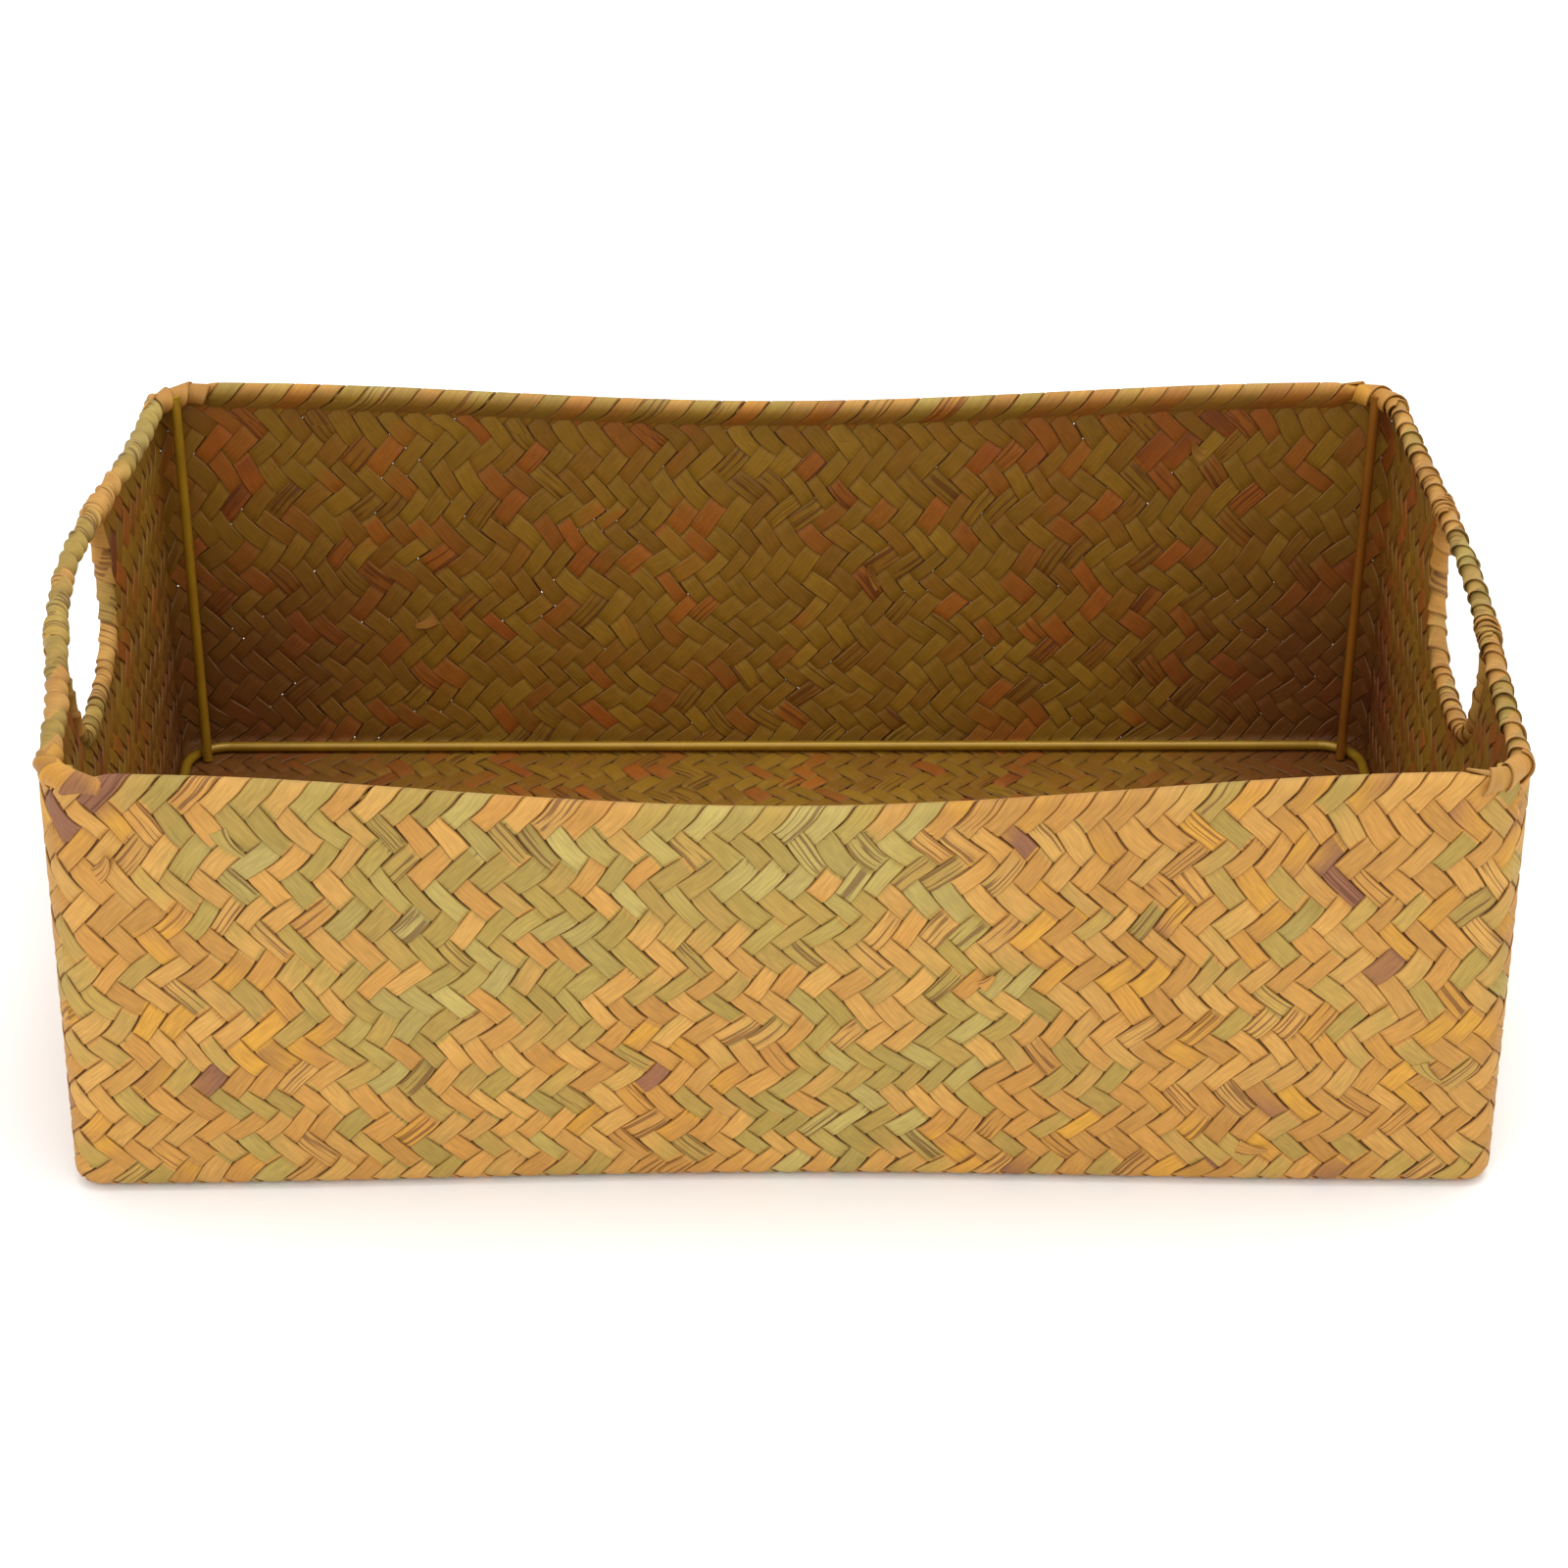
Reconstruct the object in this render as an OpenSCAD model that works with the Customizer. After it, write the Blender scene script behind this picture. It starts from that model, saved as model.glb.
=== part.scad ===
// Oblong bread basket: a plaited rush shell over a welded wire frame, with a
// folded rim along the two long sides and a bound hand grip over an opening in
// each end. Origin at the middle of the base, on the table; +X along the
// length, +Z up. Millimetres.

/* [Plaited shell] */
// Length of the base, between the middles of the end walls
base_length = 392; // [320:8:440]
// Width of the base, between the middles of the long walls
base_width = 248; // [216:8:304]
// Thickness of the plait, two strands deep
plait_t = 3; // [2:0.5:4]
// How far the long walls draw in at the base, at their middles
waist = 4.5; // [0:0.5:6]
// Outside radius of the turn from the base into the walls
turn_r = 5; // [4:0.5:7]
// Plan radius of the shell's corners at the base, at the middle of the plait
foot_corner_r = 7; // [6.5:0.5:10]
// Plan radius of the shell's corners at the rim, at the middle of the plait
rim_corner_r = 15; // [12:1:20]

/* [Rim] */
// Height of the rim wire's centre above the table, at the corners
rim_height = 129; // [90:1:150]
// How far the shell stands further out at the rim than at the base, on every side
rim_flare = 0.5; // [0:0.5:4]
// How far the rim wire lies inside the middle of the plait
rim_inset = 1.5; // [0:0.5:2]
// Dip of the rim at the middle of each long side
rim_sag = 8; // [0:0.5:12]
// Outward bow of the rim at the middle of each long side
long_bow = 4; // [0:0.5:8]
// Outward bow of the rim at the middle of the left end
left_bow = 11; // [0:0.5:12]
// Outward bow of the rim at the middle of the right end
right_bow = 4; // [0:0.5:12]
// Diameter of the rim with its strands, folded or wound
rim_roll_d = 6; // [5.5:0.5:9]
// Diameter of a corner lashing, wound over the rim
lashing_d = 7.5; // [7:0.5:10]

/* [Wire frame] */
// Diameter of the frame's wire
wire_d = 3.2; // [2.4:0.2:4]
// Plan radius of the base ring's corners, at the wire's centre
base_ring_corner_r = 13; // [10:1:18]
// Clearance between the base ring and the walls
ring_gap = 0.5; // [0.3:0.1:2]

/* [Hand openings] */
// Width of each opening between the centres of its bound edge
opening_w = 80; // [70:2:96]
// Depth of the bound edge's centre below the rim wire's centre
opening_depth = 45; // [36:1:56]
// Diameter of the bound edge of an opening
edging_d = 5.5; // [5:0.5:8]
// Diameter of the bundle of strand ends that the edge is bound round
edging_core_d = 3.5; // [3:0.5:4]

/* [Hidden] */

FRONT = 0;
RIGHT = 1;
BACK = 2;
LEFT = 3;
RUSH = "#c9a35a";
RUSH_DARK = "#b08a48";
LACQUERED_WIRE = "#8a7420";

arc_steps = 3; // steps in half a corner, from its middle to a straight side
side_steps = 10; // steps along a straight side
turn_steps = 3; // steps round the turn from the base into a wall
wall_steps = 3; // steps up a wall
tube_sides = 10; // sides of a swept wire, core or winding
edging_steps = 22; // steps along a bound edge
opening_power = 3; // 2 is an ellipse, and more is squarer
seat_gap = 0.1; // keeps a piece clear of the curved one that it rests against
cut_start = 20; // how far inside an end wall its opening's cut starts
cut_length = 60; // long enough to pass out through an end wall at any bow
wire_r = wire_d / 2;
roll_r = rim_roll_d / 2;
last_step = 2 * arc_steps + side_steps;
ring_length = base_length / 2 - plait_t / 2 - ring_gap - wire_r;
ring_width = base_width / 2 - waist - plait_t / 2 - ring_gap - wire_r;

// ---- the shell's outline -------------------------------------------------

function is_long(side) = side == FRONT || side == BACK;
function half_along(side, h) = (is_long(side) ? base_length : base_width) / 2 + rim_flare * h;
function half_across(side, h) = (is_long(side) ? base_width : base_length) / 2 + rim_flare * h;
function corner_r(h) = foot_corner_r + (rim_corner_r - foot_corner_r) * h;
function bow(side) = is_long(side) ? long_bow : side == LEFT ? left_bow : right_bow;
function sag(side) = is_long(side) ? rim_sag : 0;

// 1 at the middle of a side and 0 at its corners, where f runs from -1 to 1
function swell(f) = (1 + cos(180 * f)) / 2;

// Outward shift of a side's outline from straight, at height share h
function bulge(side, f, h) =
    (bow(side) * h * h - (is_long(side) ? waist : 0) * (1 - h) * (1 - h)) * swell(f);

// Place along a side: -1 to 1 on the straight stretch, and past it on a corner
function along(j) =
    j < arc_steps ? -1
    : j > arc_steps + side_steps ? 1
    : -1 + 2 * (j - arc_steps) / side_steps;

// Angle round the corner at a step, 0 where the straight stretch begins
function corner_angle(j) =
    j < arc_steps ? -45 * (arc_steps - j) / arc_steps
    : j > arc_steps + side_steps ? 45 * (j - arc_steps - side_steps) / arc_steps
    : 0;

// [along, outward] of a side's step at height share h, taken in by inset
function side_point(side, j, h, inset) =
    let (
        r = corner_r(h),
        reach = half_along(side, h) - r,
        a = corner_angle(j),
        f = along(j)
    )
    [
        f * reach + (r - inset) * sin(a),
        half_across(side, h) - r + (r - inset) * cos(a) + bulge(side, f, h)
    ];

function to_plan(side, pq) =
    side == FRONT ? [pq.x, -pq.y]
    : side == RIGHT ? [pq.y, pq.x]
    : side == BACK ? [-pq.x, pq.y]
    : [-pq.y, -pq.x];

function rim_z(side, j) = rim_height - sag(side) * swell(along(j));

function rim_point(side, j) =
    let (plan = to_plan(side, side_point(side, j, rim_z(side, j) / rim_height, rim_inset)))
    [plan.x, plan.y, rim_z(side, j)];

function rim_path(side, first, last) = [for (j = [first:last]) rim_point(side, j)];

// ---- swept tubes ---------------------------------------------------------

function unit(v) = v / norm(v);

function heading(path, i) =
    let (n = len(path))
    unit(path[(i + 1) % n] - path[(i + n - 1) % n]);

function tube_ring(at, dir, up, r) =
    let (
        side = unit(cross(up, dir)),
        top = cross(dir, side)
    )
    [for (k = [0:tube_sides - 1])
        at + r * (cos(360 * k / tube_sides) * side + sin(360 * k / tube_sides) * top)];

// Rings round every point of a closed path
function closed_rings(path, up, r) =
    [for (i = [0:len(path) - 1]) each tube_ring(path[i], heading(path, i), up, r)];

// Rings for all but the two end points of a path, which only set the headings
function inner_rings(path, up, r) =
    [for (i = [1:len(path) - 2]) each tube_ring(path[i], heading(path, i), up, r)];

// Quads between ring i and ring k of points that start at index base
function skin(i, k, base) =
    [for (s = [0:tube_sides - 1])
        let (t = (s + 1) % tube_sides)
        [base + i * tube_sides + s, base + i * tube_sides + t,
         base + k * tube_sides + t, base + k * tube_sides + s]];

// The same quads, facing the other way
function inner_skin(i, k, base) = [for (q = skin(i, k, base)) [q[3], q[2], q[1], q[0]]];

module ring_wire(path, r, up = [0, 0, 1]) {
    n = len(path);
    polyhedron(
        points = closed_rings(path, up, r),
        faces = [for (i = [0:n - 1]) each skin(i, (i + 1) % n, 0)]
    );
}

// A solid rod. The first and last points of the path lie past its ends.
module rod(path, r, up) {
    n = len(path) - 2;
    polyhedron(
        points = inner_rings(path, up, r),
        faces = concat(
            [for (i = [0:n - 2]) each skin(i, i + 1, 0)],
            [[for (k = [tube_sides - 1:-1:0]) k],
             [for (k = [0:tube_sides - 1]) (n - 1) * tube_sides + k]]
        )
    );
}

// A sleeve of wound or folded strand, closed round what it holds. The first and
// last points of the path lie past its ends.
module sleeve(path, outer_r, inner_r, up = [0, 0, 1]) {
    n = len(path) - 2;
    inner = n * tube_sides;
    last = (n - 1) * tube_sides;
    polyhedron(
        points = concat(inner_rings(path, up, outer_r), inner_rings(path, up, inner_r)),
        faces = concat(
            [for (i = [0:n - 2]) each skin(i, i + 1, 0)],
            [for (i = [0:n - 2]) each inner_skin(i, i + 1, inner)],
            [for (s = [0:tube_sides - 1])
                let (t = (s + 1) % tube_sides)
                [s, inner + s, inner + t, t]],
            [for (s = [0:tube_sides - 1])
                let (t = (s + 1) % tube_sides)
                [last + s, last + t, inner + last + t, inner + last + s]]
        )
    );
}

// ---- the plaited shell ---------------------------------------------------

// Place on a wall's outer face (depth 0) or inner face (depth 1), at step j
// along it and step v up it
function wall_point(side, j, v, depth) =
    let (
        turn = 90 * min(v, turn_steps) / turn_steps,
        r = turn_r - depth * plait_t,
        lift = max(v - turn_steps, 0) / wall_steps,
        top = rim_z(side, j) - roll_r - seat_gap,
        z = v <= turn_steps ? turn_r - r * cos(turn) : turn_r + (top - turn_r) * lift,
        h = max(z, 0) / rim_height,
        inset = turn_r - r * sin(turn) - plait_t / 2,
        plan = to_plan(side, side_point(side, j, h, inset))
    )
    [plan.x, plan.y, z];

module wall(side) {
    rows = turn_steps + wall_steps;
    steps = last_step;
    columns = steps + 1;
    inner = columns * (rows + 1);
    function at(j, v) = v * columns + j;
    color(RUSH)
    polyhedron(
        points = [
            for (depth = [0, 1])
            for (v = [0:rows])
            for (j = [0:steps])
            wall_point(side, j, v, depth)
        ],
        faces = concat(
            [for (v = [0:rows - 1]) for (j = [0:steps - 1])
                each [[at(j, v), at(j, v + 1), at(j + 1, v + 1)],
                      [at(j, v), at(j + 1, v + 1), at(j + 1, v)]]],
            [for (v = [0:rows - 1]) for (j = [0:steps - 1])
                each [[inner + at(j, v), inner + at(j + 1, v + 1), inner + at(j, v + 1)],
                      [inner + at(j, v), inner + at(j + 1, v), inner + at(j + 1, v + 1)]]],
            [for (j = [0:steps - 1])
                each [[at(j, 0), at(j + 1, 0), inner + at(j + 1, 0)],
                      [at(j, 0), inner + at(j + 1, 0), inner + at(j, 0)]]],
            [for (j = [0:steps - 1])
                each [[at(j, rows), inner + at(j + 1, rows), at(j + 1, rows)],
                      [at(j, rows), inner + at(j, rows), inner + at(j + 1, rows)]]],
            [for (v = [0:rows - 1])
                each [[at(0, v), inner + at(0, v), inner + at(0, v + 1)],
                      [at(0, v), inner + at(0, v + 1), at(0, v + 1)]]],
            [for (v = [0:rows - 1])
                each [[at(steps, v), inner + at(steps, v + 1), inner + at(steps, v)],
                      [at(steps, v), at(steps, v + 1), inner + at(steps, v + 1)]]]
        )
    );
}

module end_wall(side) {
    color(RUSH)
    difference() {
        wall(side);
        translate([side == RIGHT ? 1 : -1, 0, 0] * (base_length / 2 - cut_start))
        rotate([90, 0, side == RIGHT ? 90 : -90])
        linear_extrude(cut_length)
        polygon([
            for (i = [0:edging_steps]) opening_outline(i, edging_d / 2),
            [-opening_w / 2 - edging_d / 2, rim_height + roll_r],
            [opening_w / 2 + edging_d / 2, rim_height + roll_r]
        ]);
    }
}

module woven_base() {
    inset = turn_r - plait_t / 2;
    color(RUSH_DARK)
    linear_extrude(plait_t)
    polygon([
        for (side = [FRONT:LEFT])
        for (j = [0:last_step - 1])
        to_plan(side, side_point(side, j, 0, inset))
    ]);
}

// ---- the wire frame ------------------------------------------------------

module base_ring() {
    r = base_ring_corner_r;
    color(LACQUERED_WIRE)
    translate([0, 0, plait_t + wire_r])
    for (turn = [0, 180]) rotate([0, 0, turn]) {
        translate([ring_length - r, -ring_width, 0])
            rotate([0, -90, 0])
            cylinder(h = 2 * (ring_length - r), r = wire_r, $fn = 32);
        translate([ring_length, -(ring_width - r), 0])
            rotate([-90, 0, 0])
            cylinder(h = 2 * (ring_width - r), r = wire_r, $fn = 32);
        for (flip = [0, 1])
            mirror([flip, 0, 0])
            translate([ring_length - r, -(ring_width - r), 0])
            rotate([0, 0, -90])
            rotate_extrude(angle = 90, $fn = 96)
            translate([r, 0])
            circle(r = wire_r, $fn = 32);
    }
}

module rim_ring() {
    color(LACQUERED_WIRE)
    ring_wire([for (side = [FRONT:LEFT]) each rim_path(side, 0, last_step - 1)], wire_r);
}

// Foot of a post, on the base mat against the inside of the ring's corner
function post_foot() =
    let (in = base_ring_corner_r * (1 - cos(45)) + (wire_d + seat_gap) * cos(45))
    [ring_length - in, ring_width - in, plait_t + seat_gap];

// Head of a post, inside the rim wire's corner
function post_head() =
    let (
        r = rim_corner_r - rim_inset,
        in = rim_inset + r * (1 - cos(45)) + (wire_d + seat_gap) * cos(45)
    )
    [base_length / 2 + rim_flare - in, base_width / 2 + rim_flare - in, rim_height + wire_r];

function post_length() = norm(post_head() - post_foot());

// Stands what it is given on the post's foot at the corner x, y, in line with the post
module along_post(x, y) {
    foot = post_foot();
    run = post_head() - foot;
    translate([x * foot.x, y * foot.y, foot.z])
    rotate([0, acos(run.z / norm(run)), atan2(y * run.y, x * run.x)])
    children();
}

module post(x, y) {
    color(LACQUERED_WIRE)
    along_post(x, y)
    cylinder(h = post_length(), r = wire_r, $fn = 32);
}

// The room that a lashing leaves round a post's head
module post_space(x, y) {
    along_post(x, y)
    cylinder(h = post_length() + seat_gap, r = wire_r + seat_gap, $fn = 32);
}

// ---- the rim -------------------------------------------------------------

module rim_sleeve(side) {
    color(RUSH)
    sleeve(rim_path(side, arc_steps - 1, last_step - arc_steps + 1), roll_r, wire_r);
}

// A lashing round the rim's corner, over the rim wire and the post's head
module lashing(side, x, y) {
    path = concat(
        rim_path(side, last_step - arc_steps - 1, last_step),
        rim_path((side + 1) % 4, 1, arc_steps + 1)
    );
    color(RUSH_DARK)
    difference() {
        sleeve(path, lashing_d / 2, wire_r);
        post_space(x, y);
    }
}

// ---- the hand openings ---------------------------------------------------

// [across, height] of a step along an opening's edge, let out by grow
function opening_outline(i, grow) =
    let (
        a = 180 * i / edging_steps,
        half = opening_w / 2 + grow,
        depth = opening_depth + grow - roll_r,
        power = 2 / opening_power
    )
    [
        -half * sign(cos(a)) * pow(abs(cos(a)), power),
        rim_height - roll_r - seat_gap - depth * pow(abs(sin(a)), power)
    ];

// Distance of an end wall's middle from the origin, where the opening's edge runs
function end_face(side, y, z) =
    let (
        h = z / rim_height,
        reach = half_along(side, h) - corner_r(h)
    )
    half_across(side, h) + bulge(side, y / reach, h);

function edging_point(side, i) =
    let (
        yz = opening_outline(i, 0),
        x = end_face(side, yz.x, yz.y)
    )
    [side == RIGHT ? x : -x, yz.x, yz.y];

// The bound edge's run, with a point straight above each of its ends
function edging_path(side) =
    let (rise = [0, 0, 1])
    concat(
        [edging_point(side, 0) + rise],
        [for (i = [0:edging_steps]) edging_point(side, i)],
        [edging_point(side, edging_steps) + rise]
    );

module edging_core(side) {
    color(RUSH_DARK) rod(edging_path(side), edging_core_d / 2, [1, 0, 0]);
}

module edging_winding(side) {
    color(RUSH) sleeve(edging_path(side), edging_d / 2, edging_core_d / 2, [1, 0, 0]);
}

// ---- the assembly --------------------------------------------------------

woven_base();
wall(FRONT);  // woven_front
wall(BACK);  // woven_back
end_wall(LEFT);  // woven_left_end
end_wall(RIGHT);  // woven_right_end
base_ring();
rim_ring();
post(-1, -1);  // post_front_left
post(1, -1);  // post_front_right
post(-1, 1);  // post_back_left
post(1, 1);  // post_back_right
rim_sleeve(FRONT);  // front_rim_fold
rim_sleeve(BACK);  // back_rim_fold
rim_sleeve(LEFT);  // left_grip_winding
rim_sleeve(RIGHT);  // right_grip_winding
lashing(LEFT, -1, -1);  // lashing_front_left
lashing(FRONT, 1, -1);  // lashing_front_right
lashing(BACK, -1, 1);  // lashing_back_left
lashing(RIGHT, 1, 1);  // lashing_back_right
edging_core(LEFT);  // left_edging_core
edging_core(RIGHT);  // right_edging_core
edging_winding(LEFT);  // left_edging_winding
edging_winding(RIGHT);  // right_edging_winding
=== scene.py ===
"""Oblong bread basket of plaited rush over a welded wire frame.

The wires come with the frame. This script lays real strands round them: a 2/2
diagonal plait for the base and the four walls, folds over the two long rims,
and windings round the grips, the corners and the edges of the hand openings.
ShellForm holds the shell's driving sizes. Lengths are in metres.
"""

import sys

import logging
import math
from dataclasses import dataclass
from enum import Enum
from typing import Any, Callable

import bmesh
import bpy
import numpy as np
from mathutils import Matrix, Vector


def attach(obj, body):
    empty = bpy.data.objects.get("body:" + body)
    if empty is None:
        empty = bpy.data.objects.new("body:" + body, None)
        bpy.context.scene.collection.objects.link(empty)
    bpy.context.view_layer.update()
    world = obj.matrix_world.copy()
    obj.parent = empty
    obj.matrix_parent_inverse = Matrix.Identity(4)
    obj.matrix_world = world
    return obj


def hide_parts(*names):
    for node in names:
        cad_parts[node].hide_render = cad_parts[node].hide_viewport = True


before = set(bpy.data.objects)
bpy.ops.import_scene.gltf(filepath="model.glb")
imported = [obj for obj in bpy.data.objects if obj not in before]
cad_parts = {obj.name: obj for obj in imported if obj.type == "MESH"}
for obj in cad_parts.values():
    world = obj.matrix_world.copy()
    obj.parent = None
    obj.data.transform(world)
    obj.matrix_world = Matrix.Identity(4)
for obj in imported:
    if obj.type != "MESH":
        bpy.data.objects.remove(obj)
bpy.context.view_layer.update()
LOG = logging.getLogger("bread_basket")
MM = 0.001
BODY = "root"

# Strands of each lean that start along a long wall, along an end, and round all four walls
LONG_STRANDS = 49
END_STRANDS = 31
STRANDS_ROUND = 2 * (LONG_STRANDS + END_STRANDS)

# Points of a strand's six-sided section: its two edges, its inner face and its outer face
SECTION_SIDES = 6
EDGES = (0, 3)
INNER_FACE = (1, 2)
OUTER_FACE = (4, 5)
# Pushes a round section's points out towards a flat strand's edges
FLATTENING = 0.2
# Faces that meet more steeply than this keep a crisp edge
CRISP_ANGLE = math.radians(55)
# Brings a section's flat faces to half the strand's thickness from its middle
FLAT_SHARE = 0.577

# Moves each strand to its own place on the map, so that no two show the same fibres
UV_STEP = (0.37, 0.11)

# A row past every panel's end, so that no strand folds
NEVER_FOLDS = 1000.0

# How steeply a strand passes from over to under, and how far apart two strands' faults lie
CROSSING_STEEPNESS = 2.2
NOISE_STEP = 7.31

# How far apart the numbers lie that chance() takes from a fast wave
CHANCE_STEPS = (12.9898, 78.233, 37.719)
CHANCE_SPREAD = 43758.5453


# ---- small helpers --------------------------------------------------------


def linear(colour: str) -> tuple[float, float, float, float]:
    """Turns an sRGB hex colour into linear RGBA.

    Args:
        colour: A colour such as "#c9a35a".

    Returns:
        Linear red, green and blue, with alpha 1.
    """
    channels = [int(colour[i : i + 2], 16) / 255 for i in (1, 3, 5)]
    lit = [c / 12.92 if c <= 0.04045 else ((c + 0.055) / 1.055) ** 2.4 for c in channels]
    return (lit[0], lit[1], lit[2], 1.0)


def add_node(
    tree: bpy.types.NodeTree,
    kind: str,
    inputs: dict[str | int, Any] | None = None,
    **settings: Any,
) -> bpy.types.Node:
    """Adds a node, with its settings, and its input values or links.

    Args:
        tree: The tree that gets the node.
        kind: The node's bl_idname.
        inputs: A value, or another node's output socket, for each input.
        settings: Attributes to set on the node.

    Returns:
        The new node.
    """
    node = tree.nodes.new(kind)
    for name, value in settings.items():
        setattr(node, name, value)
    for key, value in (inputs or {}).items():
        if isinstance(value, bpy.types.NodeSocket):
            tree.links.new(value, node.inputs[key])
        else:
            node.inputs[key].default_value = value
    return node


def chance(*keys: np.ndarray | float) -> np.ndarray:
    """Gives a repeatable number from 0 to 1 for each set of keys."""
    mixed = sum(np.asarray(key, float) * step for key, step in zip(keys, CHANCE_STEPS))
    return np.modf(np.abs(np.sin(mixed + 0.5) * CHANCE_SPREAD))[0]


def ease(values: np.ndarray, low: float, high: float) -> np.ndarray:
    """Rises smoothly from 0 at low to 1 at high."""
    share = np.clip((values - low) / (high - low), 0, 1)
    return share * share * (3 - 2 * share)


# ---- the shell's form -----------------------------------------------------


class Side(Enum):
    """The four walls, in the order that the plait runs round them."""

    FRONT = 0
    RIGHT = 1
    BACK = 2
    LEFT = 3

    @property
    def is_long(self) -> bool:
        """True for the front and back walls."""
        return self in (Side.FRONT, Side.BACK)

    @property
    def first_strand(self) -> int:
        """Number of the strand at a wall's start, counted round all four walls."""
        walls_before = {Side.FRONT: (0, 0), Side.RIGHT: (1, 0), Side.BACK: (1, 1), Side.LEFT: (2, 1)}
        return walls_before[self][0] * LONG_STRANDS + walls_before[self][1] * END_STRANDS

    def to_plan(self, along: np.ndarray, outward: np.ndarray) -> tuple[np.ndarray, np.ndarray]:
        """Turns a place on a side into x and y.

        Args:
            along: Distance along the side from its middle.
            outward: Distance outward from the basket's middle.

        Returns:
            x and y.
        """
        return {
            Side.FRONT: (along, -outward),
            Side.RIGHT: (outward, along),
            Side.BACK: (-along, outward),
            Side.LEFT: (-outward, -along),
        }[self]


@dataclass(frozen=True)
class ShellForm:
    """The basket's shape, and where flat plait and windings lie on it."""

    base_length: float = 392 * MM
    base_width: float = 248 * MM
    waist: float = 4.5 * MM
    plait_t: float = 3 * MM
    turn_r: float = 5 * MM
    foot_corner_r: float = 7 * MM
    rim_corner_r: float = 15 * MM
    rim_height: float = 129 * MM
    rim_flare: float = 0.5 * MM
    rim_inset: float = 1.5 * MM
    rim_sag: float = 8 * MM
    long_bow: float = 4 * MM
    left_bow: float = 11 * MM
    right_bow: float = 4 * MM
    rim_roll_r: float = 3 * MM
    opening_half: float = 40 * MM
    opening_depth: float = 45 * MM
    opening_power: float = 3.0
    pitch: float = 8 * MM
    wall_rows: int = 29
    row_growth: float = 0.12
    # How far below the rim wire's centre the plait ends, under a fold and under a grip
    roll_start: float = 3.1 * MM
    grip_start: float = 2.2 * MM
    # How far and over what length the rows sway, and the calm borders at a panel's ends and rows
    sway: float = 1.1 * MM
    sway_length: float = 62 * MM
    calm_end: float = 12 * MM
    calm_row: float = 10 * MM

    @property
    def wall_height(self) -> float:
        """Length of plait from the base's edge up to the rim."""
        return self.wall_rows * self.pitch / 2

    @property
    def turn_middle_r(self) -> float:
        """Radius of the plait's middle where a wall turns in to the base."""
        return self.turn_r - self.plait_t / 2

    def side_length(self, side: Side) -> float:
        """Length of plait in a wall, from corner to corner."""
        return self.base_length if side.is_long else self.base_width

    def bow(self, side: Side) -> float:
        """Gives the rim's outward bow at a side's middle.

        Args:
            side: The side of the rim.

        Returns:
            The bow.
        """
        if side.is_long:
            return self.long_bow
        return self.left_bow if side is Side.LEFT else self.right_bow

    def rim_z(self, side: Side, place: np.ndarray) -> np.ndarray:
        """Height of the rim wire's centre at a place from -1 to 1."""
        sag = self.rim_sag if side.is_long else 0.0
        return self.rim_height - sag * self.swell(place)

    @staticmethod
    def swell(place: np.ndarray) -> np.ndarray:
        """Gives 1 at a side's middle and 0 at its corners."""
        return (1 + np.cos(math.pi * place)) / 2

    def bulge(self, side: Side, place: np.ndarray, share: np.ndarray) -> np.ndarray:
        """Gives a wall's outward shift from straight.

        Args:
            side: The wall.
            place: Places along it, from -1 to 1.
            share: Shares of the rim's height.

        Returns:
            The shift at each place.
        """
        draw = self.waist if side.is_long else 0.0
        shift = self.bow(side) * share**2 - draw * (1 - share) ** 2
        return shift * self.swell(place)

    def outline(
        self, side: Side, run: np.ndarray, share: np.ndarray, inset: np.ndarray | float
    ) -> tuple[np.ndarray, np.ndarray, np.ndarray, np.ndarray]:
        """Walks a side from one corner's middle to the next.

        Args:
            side: The wall.
            run: Share of the way along, by length, from 0 to 1.
            share: Share of the rim's height.
            inset: Distance inside the plait's middle.

        Returns:
            x, y, the outward direction's angle from the wall's own, and the
            place from -1 to 1 on the straight stretch.
        """
        length, width = (self.base_length, self.base_width)
        if not side.is_long:
            length, width = width, length
        radius = self.foot_corner_r + (self.rim_corner_r - self.foot_corner_r) * share
        reach = length / 2 + self.rim_flare * share - radius
        arc = math.pi / 4 * radius
        walked = run * 2 * (reach + arc)
        before = np.minimum(walked - arc, 0) / radius
        after = np.maximum(walked - arc - 2 * reach, 0) / radius
        turn = before + after
        place = np.clip((walked - arc) / reach - 1, -1, 1)
        along = place * reach + (radius - inset) * np.sin(turn)
        outward = (
            width / 2 + self.rim_flare * share - radius
            + (radius - inset) * np.cos(turn)
            + self.bulge(side, place, share)
        )
        x, y = side.to_plan(along, outward)
        return x, y, turn, place

    def lay_wall(self, side: Side, flat: np.ndarray) -> np.ndarray:
        """Lays flat plait onto a wall.

        Args:
            side: The wall.
            flat: Rows of length along, length up from the base's edge, and
                height outward from the plait's middle.

        Returns:
            Rows of x, y and z.
        """
        length = self.side_length(side)
        u, v, w = flat.T
        u, v = self.swayed(u, v, length, self.wall_height, side.value)
        run = u / length
        middle_r = self.turn_middle_r
        corner = middle_r * math.pi / 2
        turn = np.clip(v / middle_r, -0.3, math.pi / 2)
        radius = middle_r + w
        place = self.outline(side, run, np.full_like(u, 0.5), 0.0)[3]
        top = self.rim_z(side, place) - (self.roll_start if side.is_long else self.grip_start)
        climb = np.maximum(v - corner, 0) / (self.wall_height - corner)
        climb = climb - self.row_growth * climb * (1 - climb)
        z = self.turn_r - radius * np.cos(turn) + (top - self.turn_r) * climb
        inset = middle_r - radius * np.sin(turn)
        x, y, _, _ = self.outline(side, run, np.maximum(z, 0) / self.rim_height, inset)
        return np.stack([x, y, z], -1)

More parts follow.
